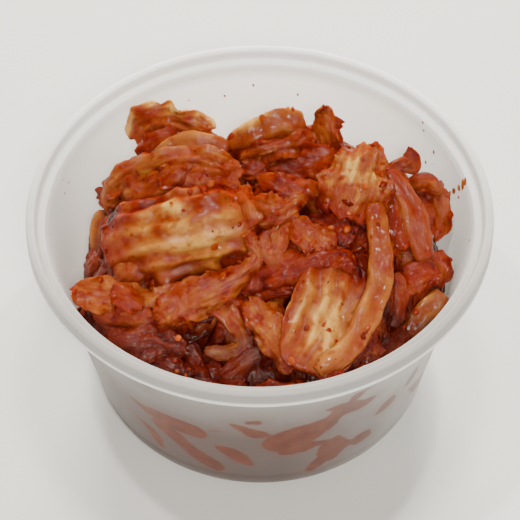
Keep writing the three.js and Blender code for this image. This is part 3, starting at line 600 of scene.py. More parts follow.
def blurred(heights, width):
    """A map smoothed over a width in mm."""
    steps = np.arange(-int(3 * width / MAP_CELL), int(3 * width / MAP_CELL) + 1)
    weights = np.exp(-0.5 * (steps * MAP_CELL / width) ** 2)
    weights /= weights.sum()
    for axis in (0, 1):
        heights = sum(w * np.roll(heights, s, axis) for w, s in zip(weights, steps))
    return heights


def read_map(heights, x, y):
    """The map's value at any x and y, between its cells."""
    i = np.clip((x + MAP_REACH) / MAP_CELL, 0, len(ticks) - 2)
    j = np.clip((y + MAP_REACH) / MAP_CELL, 0, len(ticks) - 2)
    a, b = i.astype(int), j.astype(int)
    p, q = i - a, j - b
    return ((heights[a, b] * (1 - p) + heights[a + 1, b] * p) * (1 - q)
            + (heights[a, b + 1] * (1 - p) + heights[a + 1, b + 1] * p) * q)


def cells_of(points):
    """The map cells that points lie in."""
    cells = ((points[:, :2] + MAP_REACH) / MAP_CELL).round().astype(int)
    return np.clip(cells, 0, len(ticks) - 1).T


def kept_below(heights, gap):
    """A map pressed below the highest listed piece, wherever one covers it."""
    ceiling = np.full(map_x.shape, -99.0)
    for piece in named:
        np.maximum.at(ceiling, tuple(cells_of(piece["points"])), piece["points"][:, 2])
    ceiling[ceiling < 0] = 99
    low = ceiling.copy()
    for axis in (0, 1):
        for step in (-1, 1):
            low = np.minimum(low, np.roll(ceiling, step, axis))
    return np.minimum(heights, low - gap)


named = [piece for piece in made if not piece["name"].startswith("packed")]
outer = np.hypot(map_x, map_y)
dome = DOME_EDGE - 2.0 * np.maximum(0, outer - PACKED_REACH) + 60 * np.clip(1 - outer / PACKED_REACH, 0, 1)
core_top = blurred(core_map(), 1.0)
for x, y, radius, deep in DARK_GAPS:
    core_top = core_top - deep * np.exp(-(np.hypot(map_x - x, map_y - y) / radius) ** 4)
core_top = blurred(np.minimum(kept_below(core_top, 1.3), dome), 0.5)
print(len(props), "props, core up to", round(core_top.max(), 1))

# %% [markdown]
# Bare core between the listed pieces would look like mince. So loose scraps of leaf are draped
# over it: each is a small bent rectangle whose points are dropped onto the core's map and
# lifted a little. Where a listed piece covers the spot, the scrap dives below it.

# %% Drape scraps over the core
SCRAPS = 300
SCRAP_CELL = 0.60
covered = np.zeros(map_x.shape)
for piece in named:
    covered[tuple(cells_of(piece["points"]))] = 1
covered = blurred(covered, 0.8)
soft_top = kept_below(blurred(core_top, 1.2), 1.2)


def scrap(draw, seed):
    """The middle surface of one scrap of leaf, lying on the core."""
    turn, reach = 2 * math.pi * draw(), 50 * draw() ** 0.38
    x, y = reach * math.cos(turn), reach * math.sin(turn)
    length, width = 8 + 10 * draw(), 3 + 6 * draw() ** 1.5
    yaw, bend = 2 * math.pi * draw(), 1.6 * (draw() - 0.5)
    rows, columns = int(length / SCRAP_CELL), int(width / SCRAP_CELL)
    u, v = np.meshgrid(np.linspace(0, 1, rows), np.linspace(-1, 1, columns), indexing="ij")
    nibble = layered(points_at(u * length / 3, np.sign(v) * 3.1, seed), seed, 3)
    half = width / 2 * (0.55 + 0.45 * np.sin(math.pi * np.clip(u, 0.08, 0.92)))
    half = half * (1 + 0.35 * nibble * v * v)
    angle = yaw + bend * (u - 0.5)
    torn = layered(points_at(v * width / 4, 5.5, seed), seed + 3, 3)
    ahead = (u - 0.5) * length + 1.5 * torn * np.abs(2 * u - 1) ** 5 * np.sign(u - 0.5)
    px = x + ahead * np.cos(angle) - v * half * np.sin(angle)
    py = y + ahead * np.sin(angle) + v * half * np.cos(angle)
    lift = 0.3 + 1.1 * draw() + 0.7 * layered(points_at(px / 6, py / 6, seed), seed, 2)
    under = np.clip(read_map(covered, px, py) * 1.5, 0, 1)
    pz = read_map(soft_top, px, py) + lift * (1 - under) - 1.0 * under
    points = keep_inside(points_at(px, py, pz))
    outward = unit(np.cross(np.gradient(points, axis=0), np.gradient(points, axis=1)))
    return dict(points=points, outward=outward, u=u, v=v, length=length, half=half, kind=KINDS["leaf"])


draw = make_draw(90210)
for number in range(SCRAPS):
    sheet = scrap(draw, 500 + number)
    red = 0.56 + 0.4 * (draw() - 0.5)
    made.append(make_piece(f"scrap_{number}", "scrap", sheet, 500 + number, (red,) * 5, number))
print(SCRAPS, "scraps,", sum(len(piece["points"]) for piece in made[-SCRAPS:]), "points")

# %% [markdown]
# The core's mesh is a disc of rings for its top and a few wider rings down its side. What shows
# of it is cabbage too, so it gets strong wrinkles and small pillows.

# %% Build the core's points
CORE_RINGS = 130
CORE_SIDE_RINGS = 33
CORE_SECTORS = 330
CORE_REACH = inside_radius(36) - 0.2
CORE_BOTTOM = 2.4
BASE_FILLET = 9.0


def ring(radius, height):
    """One ring of the core's mesh."""
    turn = np.arange(CORE_SECTORS) * 2 * math.pi / CORE_SECTORS
    return points_at(radius * np.cos(turn), radius * np.sin(turn), height)


core_rings = []
for i in range(1, CORE_RINGS + 1):
    level = keep_inside(ring(i / CORE_RINGS * CORE_REACH, 30.0))
    level[:, 2] = read_map(core_top, level[:, 0], level[:, 1])
    core_rings.append(level)
side_from = core_rings[-1][:, 2]
for step in np.linspace(0, 1, CORE_SIDE_RINGS + 1)[1:]:
    height = side_from + (CORE_BOTTOM - side_from) * step
    low = np.maximum(0, BASE_FILLET + 1.5 - height) / BASE_FILLET
    core_rings.append(ring(inside_radius(height) - 9 * low ** 2, height))
core_grid = np.stack(core_rings)
core_grid = np.concatenate([core_grid, core_grid[:, :1]], axis=1)
lift = 0.9 * layered(core_grid / 5, 71, 2) - 0.5 * ridged(core_grid / 2.6, 72, 3) + 0.2
core_out = unit(np.cross(np.gradient(core_grid, axis=0), np.gradient(core_grid, axis=1)))
core_grid = keep_inside(core_grid + core_out * np.minimum(lift, 0.9)[..., None])
core_points = core_grid[:, :-1].reshape(-1, 3)


def round_faces(rows, columns):
    """Faces of a grid whose last column meets its first."""
    index = np.arange(rows * columns).reshape(rows, columns)
    return grid_faces(np.concatenate([index, index[:, :1]], axis=1))


core_faces = round_faces(len(core_rings), CORE_SECTORS)
print("core:", len(core_points), "points, outward z at its top", core_out[3:9, :, 2].mean().round(2))

# %% [markdown]
# ## Sauce and painted shade in hollows
# A point is made redder when it lies lower than what surrounds it, partly as the sauce that
# gathers there and partly as painted shade. It is also blended towards a dark red as painted
# shade there, in a few listed gaps on the scraps and the core, and low at the front, where this
# stands for the shadow of the tub's front wall. A second map, of the highest point everywhere,
# smoothed over a few millimetres, tells how deep a point lies. The pieces of one kind become one
# mesh, so the heap is a few objects instead of hundreds. Each point carries how red it is, how
# much painted shade darkens it, and where it lies on its leaf, so that the grain runs along the leaf.

# %% Join the pieces kind by kind
top_map = np.full(map_x.shape, CORE_LEVEL)
for points in [piece["points"] for piece in made] + [core_points]:
    np.maximum.at(top_map, tuple(cells_of(points)), points[:, 2])
smooth_map = blurred(top_map, 3.0)
print("deepest gap:", round(float((smooth_map - top_map).max()), 1), "mm")


def in_gap(points):
    """1 in the middle of a dark gap, 0 away from all of them: the weight of the painted shade there."""
    shade = np.zeros(len(points))
    for x, y, radius, _ in DARK_GAPS:
        away = np.hypot(points[:, 0] - x, points[:, 1] - y) / (radius + 0.6)
        shade = np.maximum(shade, np.exp(-away ** 4))
    return shade


def dress(points, grain, fine, red, uneven=0.14, low=0.0):
    """The named values of a cabbage mesh."""
    over = read_map(smooth_map, points[:, 0], points[:, 1]) - points[:, 2]
    sunk = np.clip((over - SUNK_FROM) / SUNK_DEPTH, 0, 1)
    front_shadow = np.clip((FRONT_SHADE_HEIGHT - points[:, 2]) / 6, 0, 1)
    front_shadow = front_shadow * np.clip((FRONT_SHADE_Y - points[:, 1]) / 10, 0, 1)
    patch = layered(points / 5.0, 301, 3)
    # Sunk points are made redder, partly as gathered sauce and partly as painted shade. Low points at the
    # front are made redder as a painted shadow of the tub's front wall. The grooves of the fine relief are
    # made redder too. The painted shade weight below later blends sunk and low front points towards dark
    # red, and it also marks the listed dark gaps on the scraps and the core.
    red = red + uneven * patch + 0.20 * sunk ** 1.5 + 0.08 * front_shadow - 0.20 * np.clip(fine, -0.5, 0.5)
    painted_shade = np.clip(0.8 * sunk + 0.62 * front_shadow, 0, 0.8)
    painted_shade = np.maximum(painted_shade, 0.95 * low * in_gap(points))
    return dict(grain=grain, red=np.clip(red, 0, 1), painted_shade=painted_shade)


SUNK_FROM = 0.5           # a point starts to count as sunk this far below the smoothed top,
SUNK_DEPTH = 7.0          # and is at the bottom of a gap this much further down
FRONT_SHADE_HEIGHT = 45.0        # below this height, at the front, a painted shadow of the front wall lies
FRONT_SHADE_Y = -10.0
CARRIED = ("points", "grain", "fine", "red")
heap = {}
for kind in list(KINDS) + ["scrap"]:
    parts = [piece for piece in made if piece["kind"] == kind]
    shift = np.cumsum([0] + [len(piece["points"]) for piece in parts])
    faces = np.vstack([piece["faces"] + k for piece, k in zip(parts, shift)])
    joined = {key: np.concatenate([piece[key] for piece in parts]) for key in CARRIED}
    values = dress(**joined, uneven=0.06 if kind == "stem" else 0.14, low=kind == "scrap")
    heap[kind] = build_mesh(f"cabbage_{kind}", joined["points"], faces, values)
core_values = dress(core_points, core_points[:, [0, 2, 1]], 0, 0.7, low=1.0)
heap["core"] = build_mesh("cabbage_core", core_points, core_faces, core_values)

# %% [markdown]
# ## Chilli flakes and bits of paste
# The seasoning is coarse: dry red flakes that stick flat to the leaves, and small soft lumps of
# paste. Both sit on whatever lies open to the air, so their places are picked from the topmost
# surface, and each is turned to lie along it.

# %% Find the open surface
def open_points(parts, skin):
    """Points that lie within skin of the top of the heap, and their outward directions."""
    found, outward = [], []
    for part in parts:
        points, faces = part["points"], part["faces"]
        corners = points[faces]
        flat = np.cross(corners[:, 2] - corners[:, 0], corners[:, 3] - corners[:, 1])
        normals = np.zeros_like(points)
        for k in range(4):
            np.add.at(normals, faces[:, k], flat)
        normals = unit(normals)
        up = (points[:, 2] > top_map[tuple(cells_of(points))] - skin) & (normals[:, 2] > 0.25)
        found.append(points[up])
        outward.append(normals[up])
    return np.vstack(found), np.vstack(outward)


open_at, open_out = open_points(made, 0.5)
print(len(open_at), "open points")

# %% [markdown]
# A flake is a thin chip of dried skin with uneven corners and a raised middle. A lump is a
# flattened ball. Both could be sculpted, but a few rings of points closed by two tips are
# enough at this size, and hundreds of them stay cheap.

# %% Shape one flake and one lump
def closed(rings, low_tip, top_tip):
    """A closed shape from rings that lie one above the other and a tip at each end."""
    count = len(rings[0])
    points = np.vstack(rings + [low_tip[None], top_tip[None]])
    k = np.arange(count)
    after = (k + 1) % count
    low, top = 0 * k + len(rings) * count, 0 * k + len(rings) * count + 1
    faces = [np.stack([after, k, low], 1)]
    for start in range(0, (len(rings) - 1) * count, count):
        faces.append(np.stack([start + k, start + after, start + count + after], 1))
        faces.append(np.stack([start + k, start + count + after, start + count + k], 1))
    last = (len(rings) - 1) * count
    faces.append(np.stack([last + k, last + after, top], 1))
    return points, np.vstack(faces)


def lying(outward, draw):
    """Two directions along a surface, turned at random."""
    lean = unit(np.array([draw() - 0.5, draw() - 0.5, 0.1]))
    first = unit(np.cross(outward, lean))
    return first, np.cross(outward, first)


def chip(centre, outward, radius, draw):
    """A thin dry chip with uneven corners, lying on a surface."""
    count = 7
    first, second = lying(outward, draw)
    turn = (np.arange(count) + np.array([0.7 * draw() for _ in range(count)])) * 2 * math.pi / count
    reach = radius * np.array([0.55 + 0.6 * draw() for _ in range(count)])
    curl = 0.10 + 0.14 * radius * np.array([draw() for _ in range(count)])
    edge = (centre + first * (reach * np.cos(turn))[:, None]
            + second * (0.7 * reach * np.sin(turn))[:, None] + outward * curl[:, None])
    rings = [edge - outward * 0.1, edge + outward * 0.08]
    return closed(rings, centre - outward * 0.1, centre + outward * 0.26)


def lump(centre, outward, radius, draw):
    """A small soft lump, flattened against a surface."""
    first, second = lying(outward, draw)
    high = 0.22 + 0.20 * draw()
    long = 1 + 0.8 * draw()
    turn = np.arange(9) * 2 * math.pi / 9
    rings = []
    for tilt in np.linspace(-0.4, 1.25, 5):
        across = radius * math.cos(tilt)
        rings.append(centre + first * (across * long * np.cos(turn))[:, None]
                     + second * (across * np.sin(turn))[:, None]
                     + outward * radius * high * math.sin(tilt))
    points, faces = closed(rings, centre - outward * 0.3 * radius, centre + outward * radius * high)
    return points + outward * 0.15 * radius * noise(points / (0.8 * radius), 611)[:, None], faces


print("one flake has", len(chip(np.zeros(3), np.array([0, 0, 1.0]), 1, make_draw(5))[1]), "triangles")

# %% [markdown]
# Most of them are scattered by the small generator. The few largest have places of their own,
# because the eye finds them first.

# %% Scatter flakes and lumps
FLAKES = 190
LUMPS = 60
KEY_FLAKES = [            # x, y and radius
    (-18.3, -11, 1.6), (-27.5, -11, 1.2), (11.3, -27.3, 0.9), (18.8, -30, 0.8), (44.3, 3, 0.9),
    (21, 23, 0.9), (-14, 3, 0.7), (-30, 29, 0.8), (30, -4, 0.8), (-47, -16, 0.9),
]
KEY_LUMPS = [
    (-22.5, -1.5, 0.9), (-11.5, -8, 1.1), (-19.5, -13, 0.6), (-13.5, -12, 0.8), (-9.5, -13, 1.1),
    (-15, -1, 0.7), (-7, -25, 1.0), (16, -26, 0.6), (22, -3, 0.9), (-4, -6, 0.8),
]


def gather(shapes):
    """Many small closed shapes as one: points and faces."""
    shift = np.cumsum([0] + [len(points) for points, _ in shapes])
    faces = np.vstack([faces + k for (_, faces), k in zip(shapes, shift)])
    return np.vstack([points for points, _ in shapes]), faces


draw = make_draw(31337)
flakes, lumps = [], []
for _ in range(FLAKES):
    pick = int(draw() * len(open_at))
    flakes.append(chip(open_at[pick], open_out[pick], 0.35 + 1.1 * draw() ** 3, draw))
for _ in range(LUMPS):
    pick = int(draw() * len(open_at))
    lumps.append(lump(open_at[pick], open_out[pick], 0.3 + 0.7 * draw() ** 2, draw))
draw = make_draw(4242)
for shapes, spots, make in ((flakes, KEY_FLAKES, chip), (lumps, KEY_LUMPS, lump)):
    for x, y, radius in spots:
        pick = int(np.argmin(np.hypot(open_at[:, 0] - x, open_at[:, 1] - y)))
        shapes.append(make(open_at[pick], open_out[pick], radius, draw))
heap["flakes"] = build_mesh("chilli_flakes", *gather(flakes))
heap["lumps"] = build_mesh("paste_lumps", *gather(lumps))

# %% [markdown]
# ## The cabbage finish
# Fermented cabbage is wet and a little see-through. Light enters it, spreads a millimetre or two
# and comes out warmer, which is what subsurface scattering does. A thin clear coat is the film
# of brine on top, and it makes the small sharp glints. The colour runs from cream over orange to
# dark red along a ramp. All of it is made of nodes, and a few helpers keep that short.

# %% Write helpers for node trees
def add(tree, kind, values=None, **settings):
    """A shader node with its settings and its sockets' values or links."""
    node = tree.nodes.new("ShaderNode" + kind)
    for key, value in settings.items():
        setattr(node, key, value)
    set_sockets(node, values or {})
    return node


def set_sockets(node, values):
    """Set or link a node's sockets."""
    for key, value in values.items():
        if isinstance(value, bpy.types.NodeSocket):
            node.id_data.links.new(value, node.inputs[key])
        else:
            node.inputs[key].default_value = value


def math_of(tree, operation, first, second=0.0, third=0.0, clamp=False):
    """The result of a Math node."""
    values = {0: first, 1: second, 2: third}
    return add(tree, "Math", values, operation=operation, use_clamp=clamp).outputs[0]


def noise_of(tree, vector, scale, detail=2.0, roughness=0.5):
    """Noise between 0 and 1 at a vector."""
    values = {"Vector": vector, "Scale": scale, "Detail": detail, "Roughness": roughness}
    return add(tree, "TexNoise", values).outputs["Fac"]


def scaled(tree, vector, *factors):
    """A vector stretched along its three directions."""
    return add(tree, "VectorMath", {0: vector, 1: factors}, operation="MULTIPLY").outputs[0]


def rise_of(tree, value, low, high, top):
    """0 where the value is low, rising to top where it is high."""
    return add(tree, "MapRange", {"Value": value, 1: low, 2: high, 3: 0.0, 4: top}).outputs[0]


def bump_of(tree, height, strength, distance):
    """Normals bumped by a height."""
    values = {"Strength": strength, "Distance": distance, "Height": height}
    return add(tree, "Bump", values).outputs["Normal"]


def ramp_of(tree, factor, stops):
    """A colour ramp from (place, colour) stops."""
    node = add(tree, "ValToRGB", {"Fac": factor})
    band = node.color_ramp
    while len(band.elements) < len(stops):
        band.elements.new(0.5)
    for element, (place, colour) in zip(band.elements, stops):
        element.position = place
        element.color = (*colour, 1)
    return node.outputs["Color"]


def blend_of(tree, factor, first, second):
    """Two colours mixed."""
    return add(tree, "Mix", {"Factor": factor, 6: first, 7: second}, data_type="RGBA").outputs[2]


def mesh_value(tree, name, output="Fac"):
    """A value that the mesh carries."""
    return add(tree, "Attribute", attribute_name=name).outputs[output]


def new_finish(name):
    """An empty material: itself, its node tree, its Principled shader, and places on the object."""
    finish = bpy.data.materials.new(name)
    finish.use_nodes = True
    tree = finish.node_tree
    return finish, tree, tree.nodes["Principled BSDF"], add(tree, "TexCoord").outputs["Object"]


def set_shader(shader, **values):
    """Set or link sockets of a shader, with _ for a space in their names."""
    set_sockets(shader, {key.replace("_", " "): value for key, value in values.items()})


print("node helpers ready")

# %% [markdown]
# The colour starts from the redness at each point. Streaks run along the fibres, mottling and
# specks do not, and the deepest places are blended towards a dark red as painted shade. The leaf
# itself is rough and the film on it smooth, so the shader and its coat get different bumps.

# %% Make the cabbage finish
PASTE_RAMP = [
    (0.00, (0.560, 0.310, 0.078)), (0.14, (0.365, 0.130, 0.021)), (0.28, (0.265, 0.062, 0.010)),
    (0.42, (0.225, 0.030, 0.005)), (0.58, (0.190, 0.014, 0.0018)), (0.78, (0.125, 0.005, 0.0006)),
    (1.00, (0.035, 0.0009, 0.0003)),
]
# The dark red that painted shade blends the cabbage towards.
PAINTED_SHADE_COLOUR = (0.030, 0.0022, 0.0006, 1)


def wet_finish(name, fibre_strength, scatter, spots, streak_scale, streaks, mottles):
    """Wet cabbage: leaf shows its fibres, stem is smoother and more see-through."""
    finish, tree, shader, place = new_finish(name)
    grain = mesh_value(tree, "grain", "Vector")
    streak = noise_of(tree, scaled(tree, grain, streak_scale, 0.13, 1), 1.0, 3, 0.5)
    mottle = noise_of(tree, place, 300, 3, 0.55)
    film = rise_of(tree, noise_of(tree, place, 420, 2, 0.5), 0.56, 0.70, spots)
    speck = rise_of(tree, noise_of(tree, place, 1300, 1, 0.5), 0.66, 0.74, 0.6 * spots)
    tone = math_of(tree, "MULTIPLY_ADD", streak, streaks, mesh_value(tree, "red"))
    tone = math_of(tree, "MULTIPLY_ADD", mottle, mottles, tone)
    tone = math_of(tree, "SUBTRACT", tone, 0.5 * (streaks + mottles) + 0.05)
    tone = math_of(tree, "ADD", tone, film)
    tone = math_of(tree, "ADD", tone, speck, clamp=True)
    fibre = noise_of(tree, scaled(tree, grain, 2.4, 0.22, 1), 1.0, 2, 0.6)
    pores = math_of(tree, "MULTIPLY_ADD", fibre, fibre_strength, noise_of(tree, place, 480, 1.5, 0.5))
    colour = blend_of(tree, mesh_value(tree, "painted_shade"), ramp_of(tree, tone, PASTE_RAMP), PAINTED_SHADE_COLOUR)
    set_shader(shader, Base_Color=colour,
               Roughness=math_of(tree, "MULTIPLY_ADD", mottle, 0.20, 0.34),
               Normal=bump_of(tree, fibre, fibre_strength, 0.0003), IOR=1.33, Specular_IOR_Level=0.03,
               Subsurface_Weight=scatter, Subsurface_Radius=(1.0, 0.34, 0.12),
               Subsurface_Scale=0.0012, Coat_Weight=0.70, Coat_Roughness=0.07, Coat_IOR=1.38,
               Coat_Normal=bump_of(tree, pores, 1.0, 0.0010))
    return finish


wet_leaf = wet_finish("wet_leaf", 0.45, 0.45, 0.24, 1.0, 0.50, 0.20)
wet_stem = wet_finish("wet_stem", 0.15, 0.70, 0.14, 0.6, 0.26, 0.14)
for kind in list(KINDS) + ["scrap", "core"]:
    heap[kind].data.materials.append(wet_stem if kind == "stem" else wet_leaf)
print("cabbage finish ready")

# %% [markdown]
# Flakes are dried pepper skin: dark red, thin and shiny. The lumps are the same paste as on the
# leaves but thicker, so they are a purer orange red.

# %% Make the flake and paste finishes
def spice_finish(name, dark, bright, rough):
    """A wet finish that varies between two colours."""
    finish, tree, shader, place = new_finish(name)
    colour = ramp_of(tree, noise_of(tree, place, 260, 2), [(0.35, dark), (0.65, bright)])
    fine = bump_of(tree, noise_of(tree, place, 1500, 2), 0.5, 0.0002)
    set_shader(shader, Base_Color=colour, Roughness=rough, Normal=fine, IOR=1.36, Specular_IOR_Level=0.2,
               Subsurface_Weight=0.2, Subsurface_Radius=(1.0, 0.2, 0.1), Subsurface_Scale=0.0006)
    return finish


flake_skin = spice_finish("flake_skin", (0.110, 0.005, 0.001), (0.260, 0.018, 0.003), 0.3)
red_paste = spice_finish("red_paste", (0.230, 0.024, 0.002), (0.330, 0.060, 0.005), 0.2)
heap["flakes"].data.materials.append(flake_skin)
heap["lumps"].data.materials.append(red_paste)
print("spice finishes ready")

# %% [markdown]
# ## The tub
# The tub is made so thin from milky polypropylene that what lies against its wall shows through
# as soft-edged brown patches. It is round, so its mesh is one profile swept round its axis: a
# flat foot, a round fillet, a straight sloping wall, a ledge for the lid, and a rolled rim with
# a skirt outside.

# %% Draw the tub's profile
RIM_RADIUS = 59.0
BASE_OUT = 33.0
STAND_HEIGHT = 0.8
FLOOR = 0.8
LEDGE_HEIGHT = 59.4
LEDGE_RADIUS = 56.4
BEAD_RADIUS = 56.9
SKIRT = 4.5
PROFILE_STEP = 0.9


def rounded(corners, steps=5):
    """A line through corners (radius, z, rounding), with each corner rounded off."""
    corners = [np.array(corner, float) for corner in corners]
    line = [corners[0][:2]]
    for before, corner, after in zip(corners, corners[1:], corners[2:]):
        size = corner[2]
        if size == 0:
            line.append(corner[:2])
            continue
        start = corner[:2] + unit(before[:2] - corner[:2]) * size
        end = corner[:2] + unit(after[:2] - corner[:2]) * size
        for t in np.linspace(0, 1, steps):
            line.append((1 - t) ** 2 * start + 2 * t * (1 - t) * corner[:2] + t * t * end)
    return line + [corners[-1][:2]]


def evenly(line, step):
    """The same line with no stretch longer than step."""
    points = [line[0]]
    for a, b in zip(line, line[1:]):
        count = max(1, math.ceil(np.linalg.norm(b - a) / step))
        points += [a + (b - a) * k / count for k in range(1, count + 1)]
    return np.array(points)


fillet_start = wall_radius(BASE_FILLET) - 0.15
floor_radius = fillet_start - BASE_FILLET * 0.8


def fillet(inset, foot, thick):
    """The round corner between floor and wall."""
    return [(floor_radius - inset + (fillet_start - floor_radius) * math.sin(t),
             foot + (BASE_FILLET - thick) * (1 - math.cos(t)), 0) for t in np.linspace(0, math.pi / 2, 12)]


outside = [(0, STAND_HEIGHT, 0), (BASE_OUT - 1.2, STAND_HEIGHT, 0.3), (BASE_OUT - 0.6, 0, 0.3),
           (floor_radius - 1, 0, 0.4)] + fillet(0, 0.25, 0.25)
rim = [(wall_radius(LEDGE_HEIGHT - 1), LEDGE_HEIGHT - 1, 0.3),
       (LEDGE_RADIUS + 0.5, LEDGE_HEIGHT - 0.6, 0.4), (BEAD_RADIUS + 0.3, TUB_HEIGHT - 1, 0.5),
       (RIM_RADIUS - 1, TUB_HEIGHT - 1, 0.3), (RIM_RADIUS - 0.8, TUB_HEIGHT - SKIRT, 0.1),
       (RIM_RADIUS, TUB_HEIGHT - SKIRT, 0.15), (RIM_RADIUS, TUB_HEIGHT, 0.7),
       (BEAD_RADIUS, TUB_HEIGHT, 0.5), (LEDGE_RADIUS - 0.3, LEDGE_HEIGHT + 0.1, 0.4),
       (wall_radius(LEDGE_HEIGHT) - 0.4, LEDGE_HEIGHT, 0.3),
       (wall_radius(LEDGE_HEIGHT - 1.2) - WALL, LEDGE_HEIGHT - 1.2, 0)]
inside = fillet(WALL, STAND_HEIGHT + FLOOR, FLOOR)[::-1] + [(0, STAND_HEIGHT + FLOOR, 0)]
profile = evenly(rounded(outside + rim + inside), PROFILE_STEP)
print("profile of", len(profile), "points, highest", profile[:, 1].max())

# %% [markdown]
# What touches the wall is listed as strokes for the front, each with its places as x, height and
# width. Round the back some more are laid by a rule. Every point of the wall then learns how far
# it lies from the nearest stroke.

# %% Sweep the tub and mark what touches its wall
TUB_SIDES = 320
RIM_TICKS = [31, 75, 117, 163, 252, 297]     # small lid marks on the rim, in degrees
CONTACTS = [
    [(-34, 33, 0.6), (-31, 32, 2.2), (-28, 31, 4.5), (-24.5, 31, 6.5), (-20, 30.5, 7.6), (-17, 30.3, 7)],
    [(-25.3, 26.1, 6), (-22.4, 23.6, 6), (-19, 19.4, 5.5), (-15.8, 15.7, 6), (-13, 13, 6), (-11.8, 11.5, 4)],
    [(-31.6, 21.6, 1.2), (-29.1, 20.1, 3), (-27.3, 17, 4), (-26, 12.6, 2.5)],
    [(-31, 47.5, 1), (-29.5, 47, 2.2), (-28, 47, 1.8)],
    [(-39.2, 35.5, 0.5), (-37.4, 34, 0.8)],
    [(-11, 23.5, 2.5), (-7.8, 22, 5), (-5.1, 18.4, 4.5), (-2.9, 15.9, 1.5)],
    [(-6.9, 38.1, 2), (-4.2, 36.1, 3.2), (-1.5, 33.9, 4.4), (1.2, 33.1, 1.8)],
    [(-3.5, 40.2, 1.8), (-0.8, 40.2, 2)],
    [(2.5, 29.8, 4), (5.6, 28.2, 11), (9, 30.5, 11.5), (12.3, 32.4, 9.5), (15.2, 34, 7.5),
     (17.5, 36.2, 5), (19.7, 38.8, 5.5), (22.4, 39, 5.5), (25, 38.1, 4.5), (28.2, 38.8, 1.5)],
    [(16.6, 42.3, 1.5), (19.7, 41.4, 4)],
    [(6.5, 23.8, 6), (10.1, 23.8, 6), (13.4, 24, 3.5), (16.1, 23.3, 2.5)],
    [(21.6, 42.3, 1.8), (23.6, 44.4, 2.8), (26.1, 45.8, 1.2)],
    [(19.3, 24.2, 1.5), (17.8, 19.8, 8), (17.9, 15.5, 7), (15.2, 12.9, 5), (12.3, 9.6, 2.5)],
    [(20.8, 17.6, 5), (18, 18, 7)],
    [(30.2, 27.4, 3), (31.9, 28.6, 5), (33.1, 30.3, 2.5)],
    [(39.8, 36.6, 0.8), (38.8, 34, 3), (37.8, 32, 3.5), (36.8, 31, 1.2)],
    [(23.8, 16.2, 2.5), (25.5, 17.1, 6), (27.3, 16, 2.5)],
    [(-13.3, 33, 0.8), (-10.6, 33.5, 0.8)],
]
BACK_CONTACTS = 22


def contact_lines(draw):
    """Every contact stroke as turn, height and width: the front ones, then more all round."""
    lines = []
    for stroke in CONTACTS:
        line = through(stroke, np.linspace(0, 1, 12 * len(stroke)))
        turn = np.arcsin(np.clip(line[:, 0] / wall_radius(line[:, 1]), -1, 1)) - math.pi / 2
        lines.append(np.stack([turn, line[:, 1], np.abs(line[:, 2])], -1))
    for k in range(BACK_CONTACTS):
        turn = -0.5 + (k + draw()) * (math.pi + 1.0) / BACK_CONTACTS
        height, rise, run = 14 + 26 * draw(), 14 * (draw() - 0.5), 0.10 + 0.16 * draw()
        width = 2 + 5 * draw()
        bends = [(turn - run, height - rise, 1), (turn, height, width),
                 (turn + 0.5 * run, height + 0.4 * rise, 0.8 * width), (turn + run, height + rise, 1)]
        lines.append(through(bends, np.linspace(0, 1, 40)))
    return np.vstack(lines)


turns = np.arange(TUB_SIDES) * 2 * math.pi / TUB_SIDES
radii, angles = np.meshgrid(profile[:, 0], turns, indexing="ij")
heights = np.repeat(profile[:, 1:], TUB_SIDES, axis=1)
on_lip = profile[:, 1] > LEDGE_HEIGHT - 0.3
for degrees in RIM_TICKS:
    for k, rise in ((-1, 0.08), (0, 0.2), (1, 0.08)):
        heights[on_lip, (round(degrees * TUB_SIDES / 360) + k) % TUB_SIDES] += rise
far = np.full(angles.shape, 9.0)
for turn, height, width in contact_lines(make_draw(777)):
    gap = (angles - turn + math.pi) % (2 * math.pi) - math.pi
    far = np.minimum(far, np.hypot(gap * wall_radius(heights), heights - height) - width / 2)
tub_points = points_at(radii * np.cos(angles), radii * np.sin(angles), heights)
touch = far + 0.5 * noise(tub_points / 2.2, 91)
# Painted shade on the plastic: the wall below the ledge is darkened where the cabbage behind it would keep
# light from coming through, a little less higher up. The lip is darkened too, and all of this fades towards
# the back of the tub, where more light falls.
wall_shade = 1 - 0.3 * np.clip((profile[:, 1] - 30) / 25, 0, 1)
wall_shade[int(np.argmax(profile[:, 1] > LEDGE_HEIGHT - 1)):] = 0
lip = profile[:, 1] > LEDGE_HEIGHT - 1
wall_shade[lip] = 0.65
towards_back = np.clip(0.5 + np.sin(angles + np.where(lip, 0, 0.8)[:, None]) / 1.2, 0, 1)
shaded = 1 - np.where(lip, 0.95, 0.45)[:, None] * towards_back
tub_values = dict(touch=touch.ravel(), wall_shade=(wall_shade[:, None] * shaded).ravel())
tub_faces = round_faces(len(profile), TUB_SIDES)[:, ::-1]
tub = build_mesh("frosted_tub", tub_points.reshape(-1, 3), tub_faces, tub_values)

# %% [markdown]
# Above the cabbage the wall carries dried splatter: a run of sauce on the right, a few drops on
# both sides, and small ones here and there. Each is a drop flattened against the wall's slope.

# %% Splatter the wall
SPLATTER = [(163, 37, 0.4), (162, 32, 0.35), (177, 41, 0.3), (168, 34, 0.45), (164, 30, 0.4),
            (37, 59, 0.35), (36, 57, 0.3), (30, 54, 0.4), (34, 44, 0.35), (38, 45, 0.3), (32, 49, 0.35),
            (12, 59.2, 0.8), (12.7, 57.5, 0.9), (14, 55, 0.9), (16, 52, 0.8), (17.5, 49.5, 0.7),
            (12.5, 53, 0.4), (249, 58, 0.3), (287, 57, 0.35)]
LOOSE_DROPS = 26


